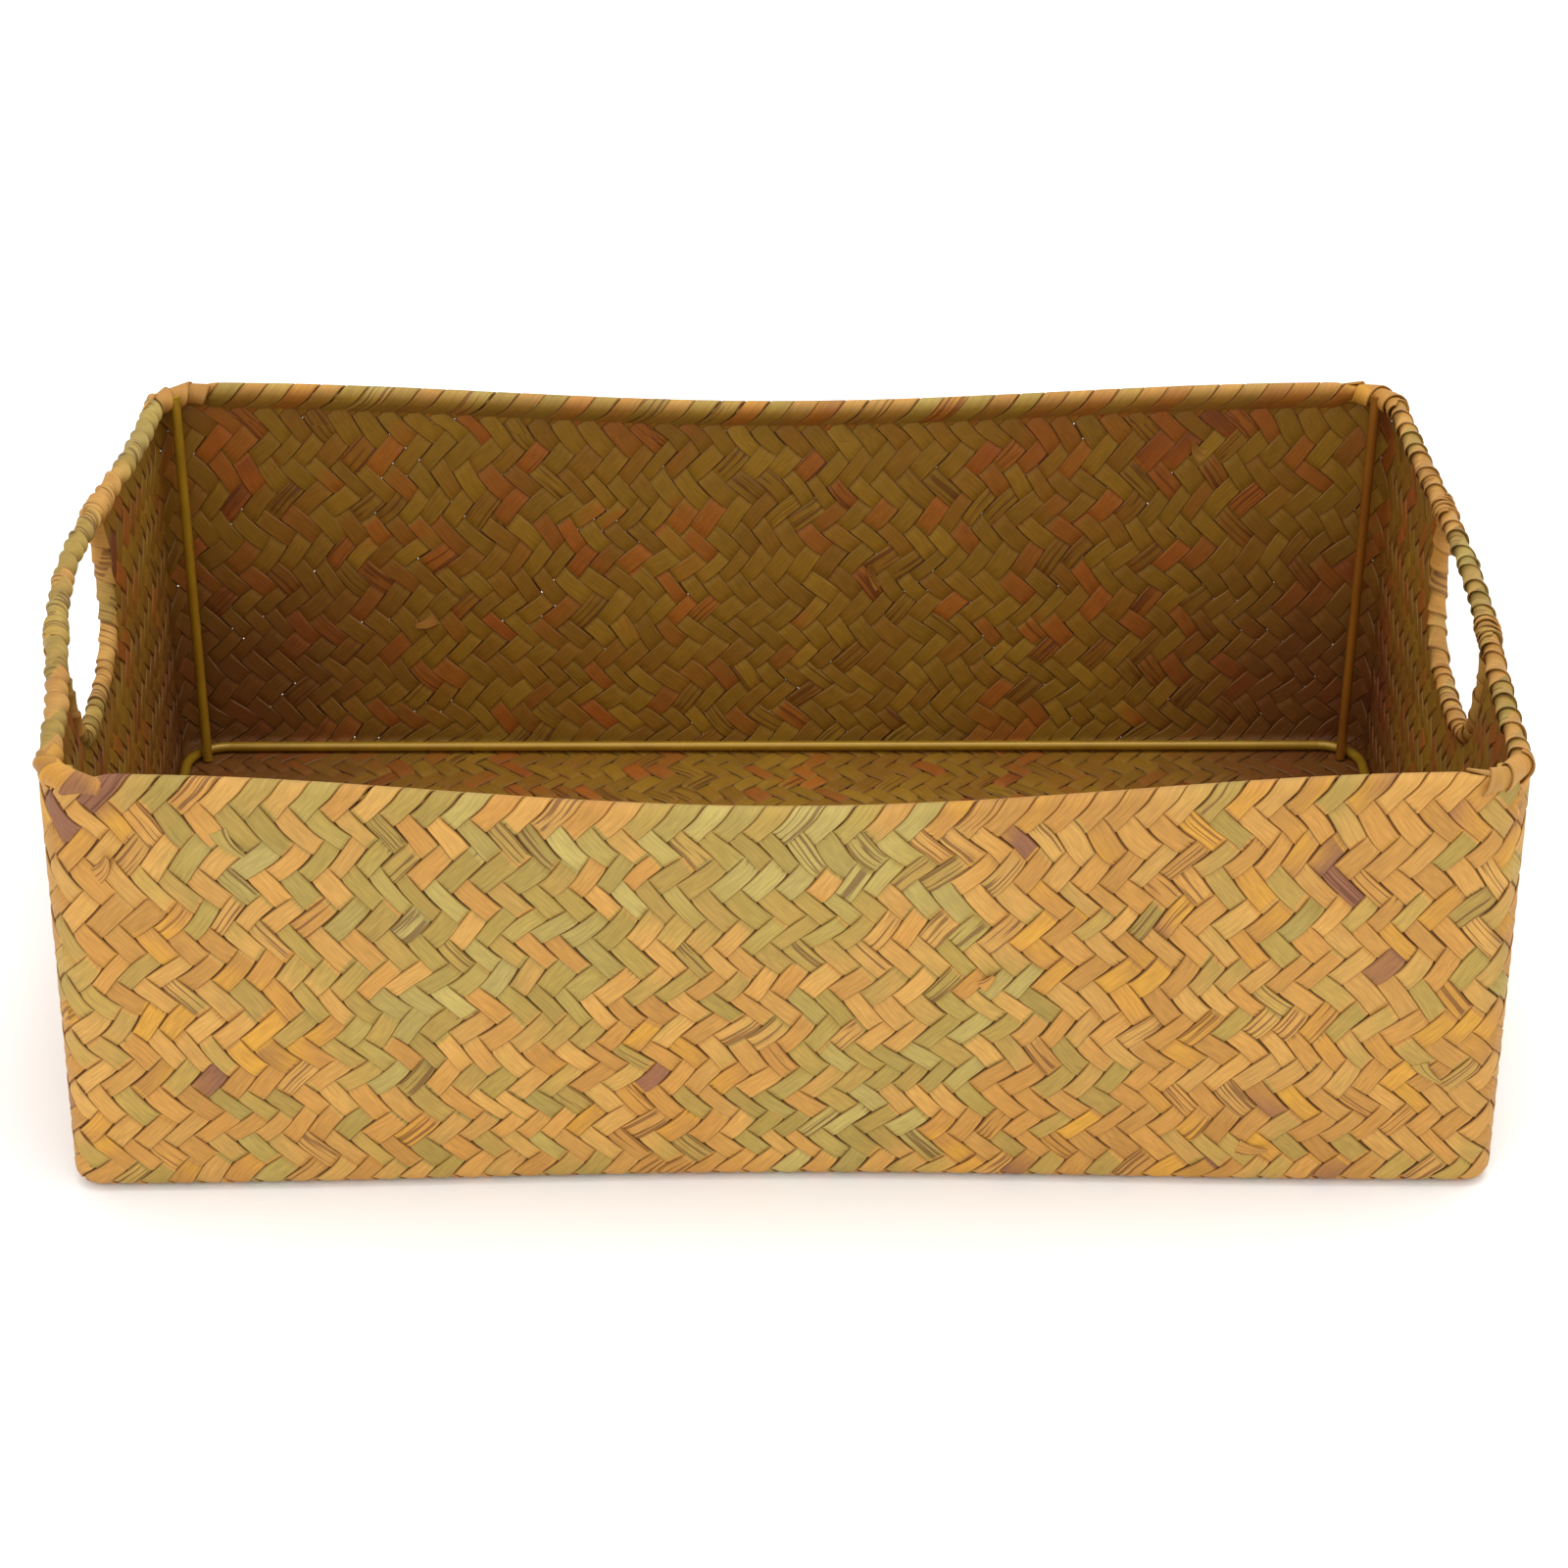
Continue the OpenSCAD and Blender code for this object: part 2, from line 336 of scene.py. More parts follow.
    def swayed(
        self, u: np.ndarray, v: np.ndarray, length: float, height: float, seed: float
    ) -> tuple[np.ndarray, np.ndarray]:
        """Pulls a panel's rows out of true, as hand plaiting does, but not at its edges.

        Args:
            u: Lengths along the panel.
            v: Lengths up the panel.
            length: The panel's own length.
            height: The panel's own height.
            seed: Picks the panel's waves.

        Returns:
            The shifted lengths along and up.
        """
        wave = 2 * math.pi / self.sway_length
        calm = ease(u, 0, self.calm_end) * ease(length - u, 0, self.calm_end)
        held = ease(v, 0, self.calm_row) * ease(height - v, 0, self.calm_row)
        # Two crossing waves each way, their lengths in no simple ratio
        along = np.sin(wave * (u + 1.3 * v) + 2 * seed)
        along = along + 0.6 * np.sin(wave * (1.9 * v - 0.8 * u) + seed)
        up = np.sin(wave * (0.8 * u - v) + 5 + seed)
        up = up + 0.7 * np.sin(wave * (1.7 * u + 0.6 * v) + 3 * seed)
        return u + self.sway * calm * held * along, v + self.sway * calm * held * up

    def lay_base(self, flat: np.ndarray) -> np.ndarray:
        """Lays flat plait onto the base, its outer face down and its rows from back to front.

        Args:
            flat: Rows of length along, length up from the back edge, and
                height outward from the plait's middle.

        Returns:
            Rows of x, y and z.
        """
        u, v, w = flat.T
        u, v = self.swayed(u, v, self.base_length, self.base_width, 6)
        place = np.clip(u / self.base_length * 2 - 1, -1, 1)
        half = self.base_width / 2 - self.turn_middle_r - self.waist * self.swell(place)
        x = (u - self.base_length / 2) * (1 - 2 * self.turn_middle_r / self.base_length)
        y = (1 - 2 * v / self.base_width) * half
        return np.stack([x, y, self.plait_t / 2 - w], -1)

    def rim_line(
        self, side: Side, start: float, end: float, count: int, inward: float = 0.0
    ) -> np.ndarray:
        """Follows the rim wire from one share of a side to another.

        Args:
            side: The side of the rim.
            start: Share of the side where the line starts.
            end: Share of the side where it ends.
            count: Number of points.
            inward: How far the line runs inside the wire's centre.

        Returns:
            Rows of x, y and z.
        """
        run = np.linspace(start, end, count)
        inset = self.rim_inset + inward
        place = self.outline(side, run, np.ones(count), inset)[3]
        z = self.rim_z(side, place)
        x, y, _, _ = self.outline(side, run, z / self.rim_height, inset)
        return np.stack([x, y, z], -1)

    def corner_run(self, side: Side) -> float:
        """Gives the share of a side that lies on each of its two corners, at the rim.

        Args:
            side: The side of the rim.

        Returns:
            The share.
        """
        length = self.side_length(side)
        arc = math.pi / 4 * self.rim_corner_r
        return arc / (length + 2 * self.rim_flare - 2 * self.rim_corner_r + 2 * arc)

    @property
    def opening_top(self) -> float:
        """Height at which an opening's edge meets the grip."""
        return self.rim_height - self.rim_roll_r

    def in_opening(self, y: np.ndarray, z: np.ndarray) -> np.ndarray:
        """Tells which points of an end wall lie inside its opening.

        Args:
            y: The points' y.
            z: The points' z.

        Returns:
            True for each point inside.
        """
        depth = self.opening_depth - self.rim_roll_r
        down = np.maximum(self.opening_top - z, 0) / depth
        across = np.abs(y) / self.opening_half
        return down**self.opening_power + across**self.opening_power < 1

    def opening_line(self, side: Side, count: int) -> np.ndarray:
        """Follows an opening's edge from one side of the grip down and up again.

        Args:
            side: The end that the opening is in.
            count: Number of points.

        Returns:
            Rows of x, y and z.
        """
        angle = np.linspace(0, math.pi, count)
        power = 2 / self.opening_power
        y = -self.opening_half * np.sign(np.cos(angle)) * np.abs(np.cos(angle)) ** power
        depth = self.opening_depth - self.rim_roll_r
        z = self.opening_top - depth * np.sin(angle) ** power
        share = z / self.rim_height
        radius = self.foot_corner_r + (self.rim_corner_r - self.foot_corner_r) * share
        reach = self.base_width / 2 + self.rim_flare * share - radius
        x = self.base_length / 2 + self.rim_flare * share + self.bulge(side, y / reach, share)
        return np.stack([x if side is Side.RIGHT else -x, y, z], -1)


class Route:
    """A line through space with a direction outward from it, which a winding follows."""

    def __init__(self, points: np.ndarray, facing: Vector) -> None:
        """Measures the line.

        Args:
            points: The line's points, close together.
            facing: The direction that the windings' cross-section keeps.
        """
        self.points = points
        steps = np.linalg.norm(np.diff(points, axis=0), axis=1)
        self.walked = np.concatenate([[0], np.cumsum(steps)])
        ahead = np.gradient(points, self.walked, axis=0)
        self.ahead = ahead / np.linalg.norm(ahead, axis=1, keepdims=True)
        out = np.cross(self.ahead, np.array(facing))
        self.out = out / np.linalg.norm(out, axis=1, keepdims=True)
        self.up = np.cross(self.out, self.ahead)

    @property
    def length(self) -> float:
        """The line's whole length."""
        return float(self.walked[-1])

    def _at(self, values: np.ndarray, distance: np.ndarray) -> np.ndarray:
        """Reads one of the line's properties at distances along it."""
        return np.stack([np.interp(distance, self.walked, values[:, k]) for k in range(3)], -1)

    def lay(self, flat: np.ndarray) -> np.ndarray:
        """Lays a straight winding, which runs along its third axis, onto the line.

        Args:
            flat: Rows of the straight winding's points.

        Returns:
            Rows of x, y and z on the line.
        """
        a, b, distance = flat.T
        beyond = distance - np.clip(distance, 0, self.length)
        middle = self._at(self.points, distance) + beyond[:, None] * self._at(self.ahead, distance)
        return (
            middle
            + a[:, None] * self._at(self.up, distance)
            + b[:, None] * self._at(self.out, distance)
        )


# ---- geometry node trees --------------------------------------------------


class Facing(Enum):
    """The way that a strand's broad face turns, as its section's broad and thin axes."""

    UP = ("X", "Y")
    OUT = ("Y", "X")


class Tree:
    """A geometry node tree with named inputs."""

    def __init__(self, name: str, sockets: dict[str, str]) -> None:
        """Starts the tree.

        Args:
            name: The tree's name.
            sockets: A socket kind for each input's name.
        """
        self.group = bpy.data.node_groups.new(name, "GeometryNodeTree")
        self.group.interface.new_socket("Geometry", in_out="OUTPUT", socket_type="NodeSocketGeometry")
        self.keys: dict[str, str] = {}
        for label, kind in sockets.items():
            socket = self.group.interface.new_socket(label, in_out="INPUT", socket_type=kind)
            self.keys[label] = socket.identifier
        self.inputs = self.group.nodes.new("NodeGroupInput").outputs

    def add(
        self, kind: str, inputs: dict[str | int, Any] | None = None, **settings: Any
    ) -> bpy.types.NodeSocket:
        """Adds a node to the tree and gives its first output."""
        return add_node(self.group, kind, inputs, **settings).outputs[0]

    def ribbon(self, curve: Any, width: Any, thickness: Any, facing: Facing, scale: Any) -> Any:
        """Turns a curve into a strand and stores where each point lies on it.

        Args:
            curve: The strand's middle line.
            width: The strand's full width.
            thickness: The strand's full thickness.
            facing: The way that its broad face turns.
            scale: A share of the size at each point.

        Returns:
            The strand's mesh.
        """
        broad, thin = facing.value
        size = self.add("ShaderNodeCombineXYZ", {
            broad: self.add("ShaderNodeMath", {0: width, 1: 0.5}, operation="MULTIPLY"),
            thin: self.add("ShaderNodeMath", {0: thickness, 1: FLAT_SHARE}, operation="MULTIPLY"),
            "Z": 1.0,
        })
        round_section = {"Resolution": SECTION_SIDES, "Radius": 1.0}
        profile = self.add("GeometryNodeCurvePrimitiveCircle", round_section)
        if facing is Facing.OUT:
            quarter_turn = {"Geometry": profile, "Rotation": (0, 0, math.pi / 2)}
            profile = self.add("GeometryNodeTransform", quarter_turn)
        # Flat faces with bevelled edges
        numbered = {"Geometry": profile, "Name": "section", "Value": self.add("GeometryNodeInputIndex")}
        profile = self.add("GeometryNodeStoreNamedAttribute", numbered, domain="POINT", data_type="FLOAT")
        at = self.add("GeometryNodeInputPosition")
        corner = add_node(self.group, "ShaderNodeSeparateXYZ", {0: at}).outputs
        side = self.add("ShaderNodeMath", {0: corner[broad]}, operation="SIGN")
        distance = self.add("ShaderNodeMath", {0: corner[broad]}, operation="ABSOLUTE")
        spread = self.add("ShaderNodeMath", {0: distance, 1: FLATTENING}, operation="POWER")
        moved = self.add("ShaderNodeCombineXYZ", {
            broad: self.add("ShaderNodeMath", {0: side, 1: spread}, operation="MULTIPLY"),
            thin: corner[thin],
        })
        profile = self.add("GeometryNodeSetPosition", {"Geometry": profile, "Position": moved})
        profile = self.add("GeometryNodeTransform", {"Geometry": profile, "Scale": size})
        walked = self.group.nodes.new("GeometryNodeSplineParameter").outputs["Length"]
        measured = {"Geometry": curve, "Name": "along", "Value": walked}
        curve = self.add("GeometryNodeStoreNamedAttribute", measured, domain="POINT", data_type="FLOAT")
        curve = self.add("GeometryNodeSetCurveNormal", {"Curve": curve}, mode="Z_UP")
        sweep = {"Curve": curve, "Profile Curve": profile, "Fill Caps": True, "Scale": scale}
        return self.add("GeometryNodeCurveToMesh", sweep)

    def finish(self, geometry: Any) -> None:
        """Ends the tree: real geometry, with its material set.

        Args:
            geometry: What the tree has made.
        """
        real = self.add("GeometryNodeRealizeInstances", {"Geometry": geometry})
        finish = {"Geometry": real, "Material": self.inputs["Material"]}
        dressed = self.add("GeometryNodeSetMaterial", finish)
        add_node(self.group, "NodeGroupOutput", {"Geometry": dressed})

    def build(self, **values: Any) -> bpy.types.Mesh:
        """Runs the tree on an empty object.

        Args:
            values: A value for each input, its spaces as underscores.

        Returns:
            The finished mesh.
        """
        shell = bpy.data.objects.new("strands", bpy.data.meshes.new("strands"))
        bpy.context.scene.collection.objects.link(shell)
        modifier = shell.modifiers.new("strands", "NODES")
        modifier.node_group = self.group
        for label, value in values.items():
            modifier[self.keys[label.replace("_", " ")]] = value
        graph = bpy.context.evaluated_depsgraph_get()
        mesh = bpy.data.meshes.new_from_object(shell.evaluated_get(graph))
        bpy.data.objects.remove(shell)
        return mesh


def plait_tree() -> Tree:
    """Builds the tree that lays one set of a plait's strands, flat.

    Strands lean up to the right where Lean is 1 and to the left where it is
    -1. Each passes over two of the other set and under two. Above Fold Row
    the right-leaning strands stay outside, ready to fold over the rim.

    Returns:
        The tree.
    """
    tree = Tree("Plait", {
        "Pitch": "NodeSocketFloat", "Low": "NodeSocketFloat", "High": "NodeSocketFloat",
        "First": "NodeSocketInt", "Strands": "NodeSocketInt", "Steps": "NodeSocketInt",
        "Lean": "NodeSocketFloat", "Lift": "NodeSocketFloat", "Phase": "NodeSocketFloat",
        "Fold Row": "NodeSocketFloat", "Width": "NodeSocketFloat",
        "Thickness": "NodeSocketFloat", "Wander": "NodeSocketFloat",
        "Narrowest": "NodeSocketFloat", "Broadest": "NodeSocketFloat",
        "Seed": "NodeSocketInt", "Material": "NodeSocketMaterial",
    })
    given = tree.inputs
    first_at = tree.add("ShaderNodeMath", {0: given["First"], 1: given["Pitch"]}, operation="MULTIPLY")
    line = tree.add("GeometryNodeMeshLine", {
        "Count": given["Strands"],
        "Start Location": tree.add("ShaderNodeCombineXYZ", {"X": first_at}),
        "Offset": tree.add("ShaderNodeCombineXYZ", {"X": given["Pitch"]}),
    })
    ends = {}
    for end, edge in (("Start", "Low"), ("End", "High")):
        leant = tree.add("ShaderNodeMath", {0: given[edge], 1: given["Lean"]}, operation="MULTIPLY")
        ends[end] = tree.add("ShaderNodeCombineXYZ", {"X": leant, "Y": given[edge]})
    strand = tree.add("GeometryNodeCurvePrimitiveLine", ends)
    strand = tree.add("GeometryNodeResampleCurve", {"Curve": strand, "Count": given["Steps"]})
    laid = tree.add("GeometryNodeInstanceOnPoints", {"Points": line, "Instance": strand})
    index = tree.add("GeometryNodeInputIndex")
    number = tree.add("ShaderNodeMath", {0: index, 1: given["First"]}, operation="ADD")
    numbered = {"Geometry": laid, "Name": "strand", "Value": number}
    laid = tree.add("GeometryNodeStoreNamedAttribute", numbered, domain="INSTANCE", data_type="FLOAT")
    laid = tree.add("GeometryNodeRealizeInstances", {"Geometry": laid})
    # Over two and under two: a clipped wave whose crossings fall on whole rows
    at = tree.add("GeometryNodeInputPosition")
    up = add_node(tree.group, "ShaderNodeSeparateXYZ", {0: at}).outputs["Y"]
    row_height = tree.add("ShaderNodeMath", {0: given["Pitch"], 1: 0.5}, operation="MULTIPLY")
    row = tree.add("ShaderNodeMath", {0: up, 1: row_height}, operation="DIVIDE")
    held_out = row
    for operation, value in (("GREATER_THAN", given["Fold Row"]), ("MULTIPLY", 2.0), ("SUBTRACT", 1.0)):
        held_out = tree.add("ShaderNodeMath", {0: held_out, 1: value}, operation=operation)
    height = row
    for operation, value in (
        ("SUBTRACT", given["Phase"]), ("SUBTRACT", 0.5), ("MULTIPLY", math.pi / 2), ("COSINE", 0.0),
        ("MULTIPLY", CROSSING_STEEPNESS), ("MINIMUM", 1.0), ("MAXIMUM", -1.0),
        ("MAXIMUM", held_out), ("MULTIPLY", given["Lean"]), ("MULTIPLY", given["Lift"]),
    ):
        height = tree.add("ShaderNodeMath", {0: height, 1: value}, operation=operation)
    placed = {"Geometry": laid, "Name": "row", "Value": row}
    laid = tree.add("GeometryNodeStoreNamedAttribute", placed, domain="POINT", data_type="FLOAT")
    # Hand plaiting leaves each strand a little off its line and out of true
    own = tree.add("GeometryNodeInputNamedAttribute", {"Name": "strand"}, data_type="FLOAT")
    mixed = tree.add("ShaderNodeMath", {0: own, 1: given["Seed"]}, operation="ADD")
    twist = tree.add("ShaderNodeMath", {0: mixed, 1: NOISE_STEP}, operation="MULTIPLY")
    noise = tree.add(
        "ShaderNodeTexNoise",
        {"Vector": tree.add("GeometryNodeInputPosition"), "W": twist, "Scale": 55.0, "Detail": 1.0},
        noise_dimensions="4D",
    )
    centred = tree.add("ShaderNodeMath", {0: noise, 1: 0.5}, operation="SUBTRACT")
    stray = tree.add("ShaderNodeMath", {0: centred, 1: given["Wander"]}, operation="MULTIPLY")
    shift = tree.add("ShaderNodeCombineXYZ", {"X": stray, "Z": height})
    laid = tree.add("GeometryNodeSetPosition", {"Geometry": laid, "Offset": shift})
    # Some strands are cut broader than others
    breadth = add_node(
        tree.group, "FunctionNodeRandomValue",
        {2: given["Narrowest"], 3: given["Broadest"], "ID": own, "Seed": given["Seed"]},
        data_type="FLOAT",
    )
    tree.finish(tree.ribbon(laid, given["Width"], given["Thickness"], Facing.UP, breadth.outputs[1]))
    return tree


def winding_tree() -> Tree:
    """Builds the tree that winds a strand round a straight line along Z.

    Returns:
        The tree.
    """
    tree = Tree("Winding", {
        "Length": "NodeSocketFloat", "Radius": "NodeSocketFloat", "Turn Pitch": "NodeSocketFloat",
        "Turn Steps": "NodeSocketInt", "Width": "NodeSocketFloat", "Thickness": "NodeSocketFloat",
        "Overlap Tilt": "NodeSocketFloat", "Unevenness": "NodeSocketFloat",
        "Seed": "NodeSocketInt", "Material": "NodeSocketMaterial",
    })
    given = tree.inputs
    turns = tree.add("ShaderNodeMath", {0: given["Length"], 1: given["Turn Pitch"]}, operation="DIVIDE")
    coil = tree.add("GeometryNodeCurveSpiral", {
        "Resolution": given["Turn Steps"], "Rotations": turns, "Start Radius": given["Radius"],
        "End Radius": given["Radius"], "Height": given["Length"],
    })
    # Turns lie unevenly, as pulled tight by hand
    at = tree.add("GeometryNodeInputPosition")
    noise = add_node(
        tree.group, "ShaderNodeTexNoise",
        {"Vector": at, "W": given["Seed"], "Scale": 90.0, "Detail": 1.0}, noise_dimensions="4D",
    ).outputs["Color"]
    centred = tree.add("ShaderNodeVectorMath", {0: noise, 1: (0.5, 0.5, 0.5)}, operation="SUBTRACT")
    scaled = {0: centred, "Scale": given["Unevenness"]}
    stray = tree.add("ShaderNodeVectorMath", scaled, operation="SCALE")
    coil = tree.add("GeometryNodeSetPosition", {"Geometry": coil, "Offset": stray})
    coil = tree.add("GeometryNodeSetCurveTilt", {"Curve": coil, "Tilt": given["Overlap Tilt"]})
    tree.finish(tree.ribbon(coil, given["Width"], given["Thickness"], Facing.OUT, 1.0))
    return tree


# ---- finishes -------------------------------------------------------------


@dataclass(frozen=True)
class DriedRush:
    """Sun-dried rush, split and plaited damp: matte, fibrous, each strand its own shade."""

    name: str = "dried rush"
    # From mauve-brown stem ends, through tan, to green-gold leaf
    outer: tuple[tuple[float, str], ...] = (
        (0.0, "#8c5b3c"), (0.05, "#ac7837"), (0.11, "#c89231"), (0.17, "#c38c34"), (0.22, "#b68138"),
        (0.38, "#be893e"), (0.53, "#c69549"), (0.61, "#b08d42"), (0.76, "#a2873c"), (1.0, "#b29c54"),
    )
    # Inner faces keep their darker, unbleached side, and are darkened further with painted shade, as the
    # basket's inside lies in shadow
    inner: tuple[tuple[float, str], ...] = (
        (0.0, "#703a12"), (0.1, "#9a520f"), (0.24, "#945612"), (0.34, "#86580c"), (0.55, "#88600f"),
        (0.8, "#8e6710"), (0.92, "#956e18"), (1.0, "#9e5c12"),
    )
    low_corner_colour: str = "#6a3612"
    low_corner_strength: float = 0.75
    # Colour of the painted shade in crevices and along strands' edges, also used for the dark splits
    crevice_shade: str = "#522305"
    roughness: float = 0.62
    specular: float = 0.35
    # Batches of greener and browner strands lie in patches a hand wide
    patch_size: float = 70 * MM
    patch_drift: float = 0.24
    # Fibres and splits run long: so many widths go to one length
    fibre_width: float = 0.35 * MM
    fibre_length: float = 1 / 0.06
    fibre_contrast: tuple[float, float] = (0.8, 1.12)
    fibre_depth: float = 0.15 * MM
    split_width: float = 0.55 * MM
    split_length: float = 1 / 0.015
    split_darkness: float = 0.65
    # Share of its noise below which a split opens, and is fully open
    split_opens: tuple[float, float] = (0.46, 0.42)

    def build(self) -> bpy.types.Material:
        """Builds the material.

        Returns:
            The material.
        """
        material = bpy.data.materials.new(self.name)
        material.use_nodes = True
        tree = material.node_tree
        shader = tree.nodes["Principled BSDF"]
        shader.inputs["Roughness"].default_value = self.roughness
        shader.inputs["Specular IOR Level"].default_value = self.specular
        tone, low_corner_share, within, shade, frayed, depth = (
            add_node(tree, "ShaderNodeAttribute", attribute_name=label).outputs["Fac"]
            for label in ("tone", "low_corner_share", "within", "shade", "frayed", "crevice_shade")
        )
        place = add_node(tree, "ShaderNodeTexCoord").outputs["Object"]
        patch = add_node(
            tree, "ShaderNodeTexNoise", {"Vector": place, "Scale": 1 / self.patch_size, "Detail": 2.0}
        )
        drift = add_node(tree, "ShaderNodeMapRange", {
            "Value": patch.outputs[0], "From Min": 0.3, "From Max": 0.7,
            "To Min": -self.patch_drift, "To Max": self.patch_drift,
        })
        moved = add_node(
            tree, "ShaderNodeMath", {0: tone, 1: drift.outputs[0]}, operation="ADD", use_clamp=True
        )
        light_side, dark_side = (
            self._ramp(tree, stops, moved.outputs[0]) for stops in (self.outer, self.inner)
        )
        # Darker and browner towards the walls' low corners, on the inner faces
        part_low_corner = add_node(tree, "ShaderNodeMapRange", {"Value": low_corner_share, "To Max": self.low_corner_strength})
        low_corner_side = add_node(
            tree, "ShaderNodeMix",
            {0: part_low_corner.outputs[0], 6: dark_side, 7: linear(self.low_corner_colour)}, data_type="RGBA",
        )
        # Inner faces take the darker palette: partly their own unbleached colour, partly painted shade
        leaf = add_node(
            tree, "ShaderNodeMix", {0: within, 6: light_side, 7: low_corner_side.outputs[2]}, data_type="RGBA"
        )
        # Fine fibres run the length of each strand, and some have dried and split into three or four
        uv = add_node(tree, "ShaderNodeUVMap", uv_map="UVMap").outputs[0]
        fibre, split_noise = (
            add_node(tree, "ShaderNodeTexNoise", {
                "Vector": add_node(
                    tree, "ShaderNodeVectorMath",
                    {0: uv, 1: (1 / (length * width), 1 / width, 1.0)}, operation="MULTIPLY",
                ).outputs[0],
                "Scale": 1.0, "Detail": detail,
            }).outputs[0]
            for width, length, detail in (
                (self.fibre_width, self.fibre_length, 3.0), (self.split_width, self.split_length, 1.0),
            )
        )
        streak = add_node(tree, "ShaderNodeMapRange", {
            "Value": fibre, "From Min": 0.3, "From Max": 0.7,
            "To Min": self.fibre_contrast[0], "To Max": self.fibre_contrast[1],
        })
        lit = add_node(tree, "ShaderNodeMath", {0: streak.outputs[0], 1: shade}, operation="MULTIPLY")
        shaded = add_node(
            tree, "ShaderNodeVectorMath", {0: leaf.outputs[2], "Scale": lit.outputs[0]}, operation="SCALE"
        )
        split = add_node(tree, "ShaderNodeMapRange", {
            "Value": split_noise, "From Min": self.split_opens[0], "From Max": self.split_opens[1],
            "To Max": self.split_darkness,
        })
        lines = add_node(tree, "ShaderNodeMath", {0: split.outputs[0], 1: frayed}, operation="MULTIPLY")
        # Dust and dark juice stay in the splits; painted shade darkens the crevices where strands cross and
        # dip under, and along the strands' edges
        darkening = add_node(tree, "ShaderNodeMath", {0: depth, 1: lines.outputs[0]}, operation="MAXIMUM")
        colour = add_node(
            tree, "ShaderNodeMix",
            {0: darkening.outputs[0], 6: shaded.outputs[0], 7: linear(self.crevice_shade)}, data_type="RGBA",
        )
        tree.links.new(colour.outputs[2], shader.inputs["Base Color"])
        bump = add_node(
            tree, "ShaderNodeBump", {"Height": fibre, "Strength": 0.5, "Distance": self.fibre_depth}
        )
        tree.links.new(bump.outputs[0], shader.inputs["Normal"])
        return material

    @staticmethod
    def _ramp(tree: bpy.types.NodeTree, stops: tuple[tuple[float, str], ...], at: Any) -> Any:
        """Adds a colour ramp.

        Args:
            tree: The material's tree.
            stops: A place from 0 to 1 and a colour for each stop.
            at: The socket that the ramp is read by.

        Returns:
            The ramp's colour.
        """
        ramp = add_node(tree, "ShaderNodeValToRGB", {"Fac": at})
        points = ramp.color_ramp.elements
        while len(points) < len(stops):
            points.new(0.5)
        for point, (place, colour) in zip(points, stops):
            point.position = place
            point.color = linear(colour)
        return ramp.outputs[0]


@dataclass(frozen=True)
class LacqueredWire:
    """Drawn steel wire under tinted lacquer: a soft olive-gold gloss, uneven with handling."""

    name: str = "lacquered steel wire"
    colour: str = "#b8921c"
    worn: str = "#946c12"
    roughness: float = 0.38
    roughness_spread: tuple[float, float] = (-0.08, 0.12)
    # The tint is thin enough for a little of the steel's own shine
    metallic: float = 0.35
    coat: float = 0.3
    coat_roughness: float = 0.25
    # Size of the worn and the even patches
    mottle: float = 9 * MM
    # Runs in the lacquer
    ripple: float = 1.2 * MM
    ripple_depth: float = 0.05 * MM

    def build(self) -> bpy.types.Material:
        """Builds the material.

        Returns:
            The material.
        """
        material = bpy.data.materials.new(self.name)
        material.use_nodes = True
        tree = material.node_tree
        shader = tree.nodes["Principled BSDF"]
        shader.inputs["Metallic"].default_value = self.metallic
        shader.inputs["Coat Weight"].default_value = self.coat
        shader.inputs["Coat Roughness"].default_value = self.coat_roughness
        place = add_node(tree, "ShaderNodeTexCoord").outputs["Object"]
        cloud, ripple = (
            add_node(
                tree, "ShaderNodeTexNoise", {"Vector": place, "Scale": 1 / size, "Detail": detail}
            ).outputs[0]
            for size, detail in ((self.mottle, 4.0), (self.ripple, 2.0))
        )
        colour = add_node(
            tree, "ShaderNodeMix",
            {"Factor": cloud, 6: linear(self.worn), 7: linear(self.colour)}, data_type="RGBA",
        )
        tree.links.new(colour.outputs[2], shader.inputs["Base Color"])
        smooth, dull = (self.roughness + change for change in self.roughness_spread)
        gloss = add_node(tree, "ShaderNodeMapRange", {"Value": cloud, "To Min": smooth, "To Max": dull})
        tree.links.new(gloss.outputs[0], shader.inputs["Roughness"])
        bump = add_node(
            tree, "ShaderNodeBump", {"Height": ripple, "Strength": 0.25, "Distance": self.ripple_depth}
        )
        tree.links.new(bump.outputs[0], shader.inputs["Normal"])
        return material


# ---- pieces ---------------------------------------------------------------


@dataclass
class StrandGauge:
    """The strands' own sizes."""

    width: float = 5.72 * MM
    thickness: float = 0.85 * MM
    # How far a strand's middle rises over the plait's, and strays from its own line
    lift: float = 0.62 * MM
    wander: float = 0.9 * MM
    # Shares of the width between which the strands are cut
    narrowest: float = 0.925
    broadest: float = 1.05
    # Rows by which the crossings are shifted, where strands stay outside, and where folds begin
    phase: float = 1.0
    fold_row: float = 29.5
    fold_from_row: float = 27.5
    steps_per_crossing: int = 4


@dataclass
class Workshop:
    """What every piece is made with: the form, the strands, the trees and the finishes."""

    form: ShellForm
    gauge: StrandGauge
    plait: Tree
    winding: Tree
    rush: bpy.types.Material
    wire: bpy.types.Material
    tarnished_wire: bpy.types.Material


def read_points(mesh: bpy.types.Mesh) -> np.ndarray:
    """Reads a mesh's points.

    Args:
        mesh: The mesh.

    Returns:
        Rows of x, y and z.
    """
    points = np.empty(len(mesh.vertices) * 3)
    mesh.vertices.foreach_get("co", points)
    return points.reshape(-1, 3)


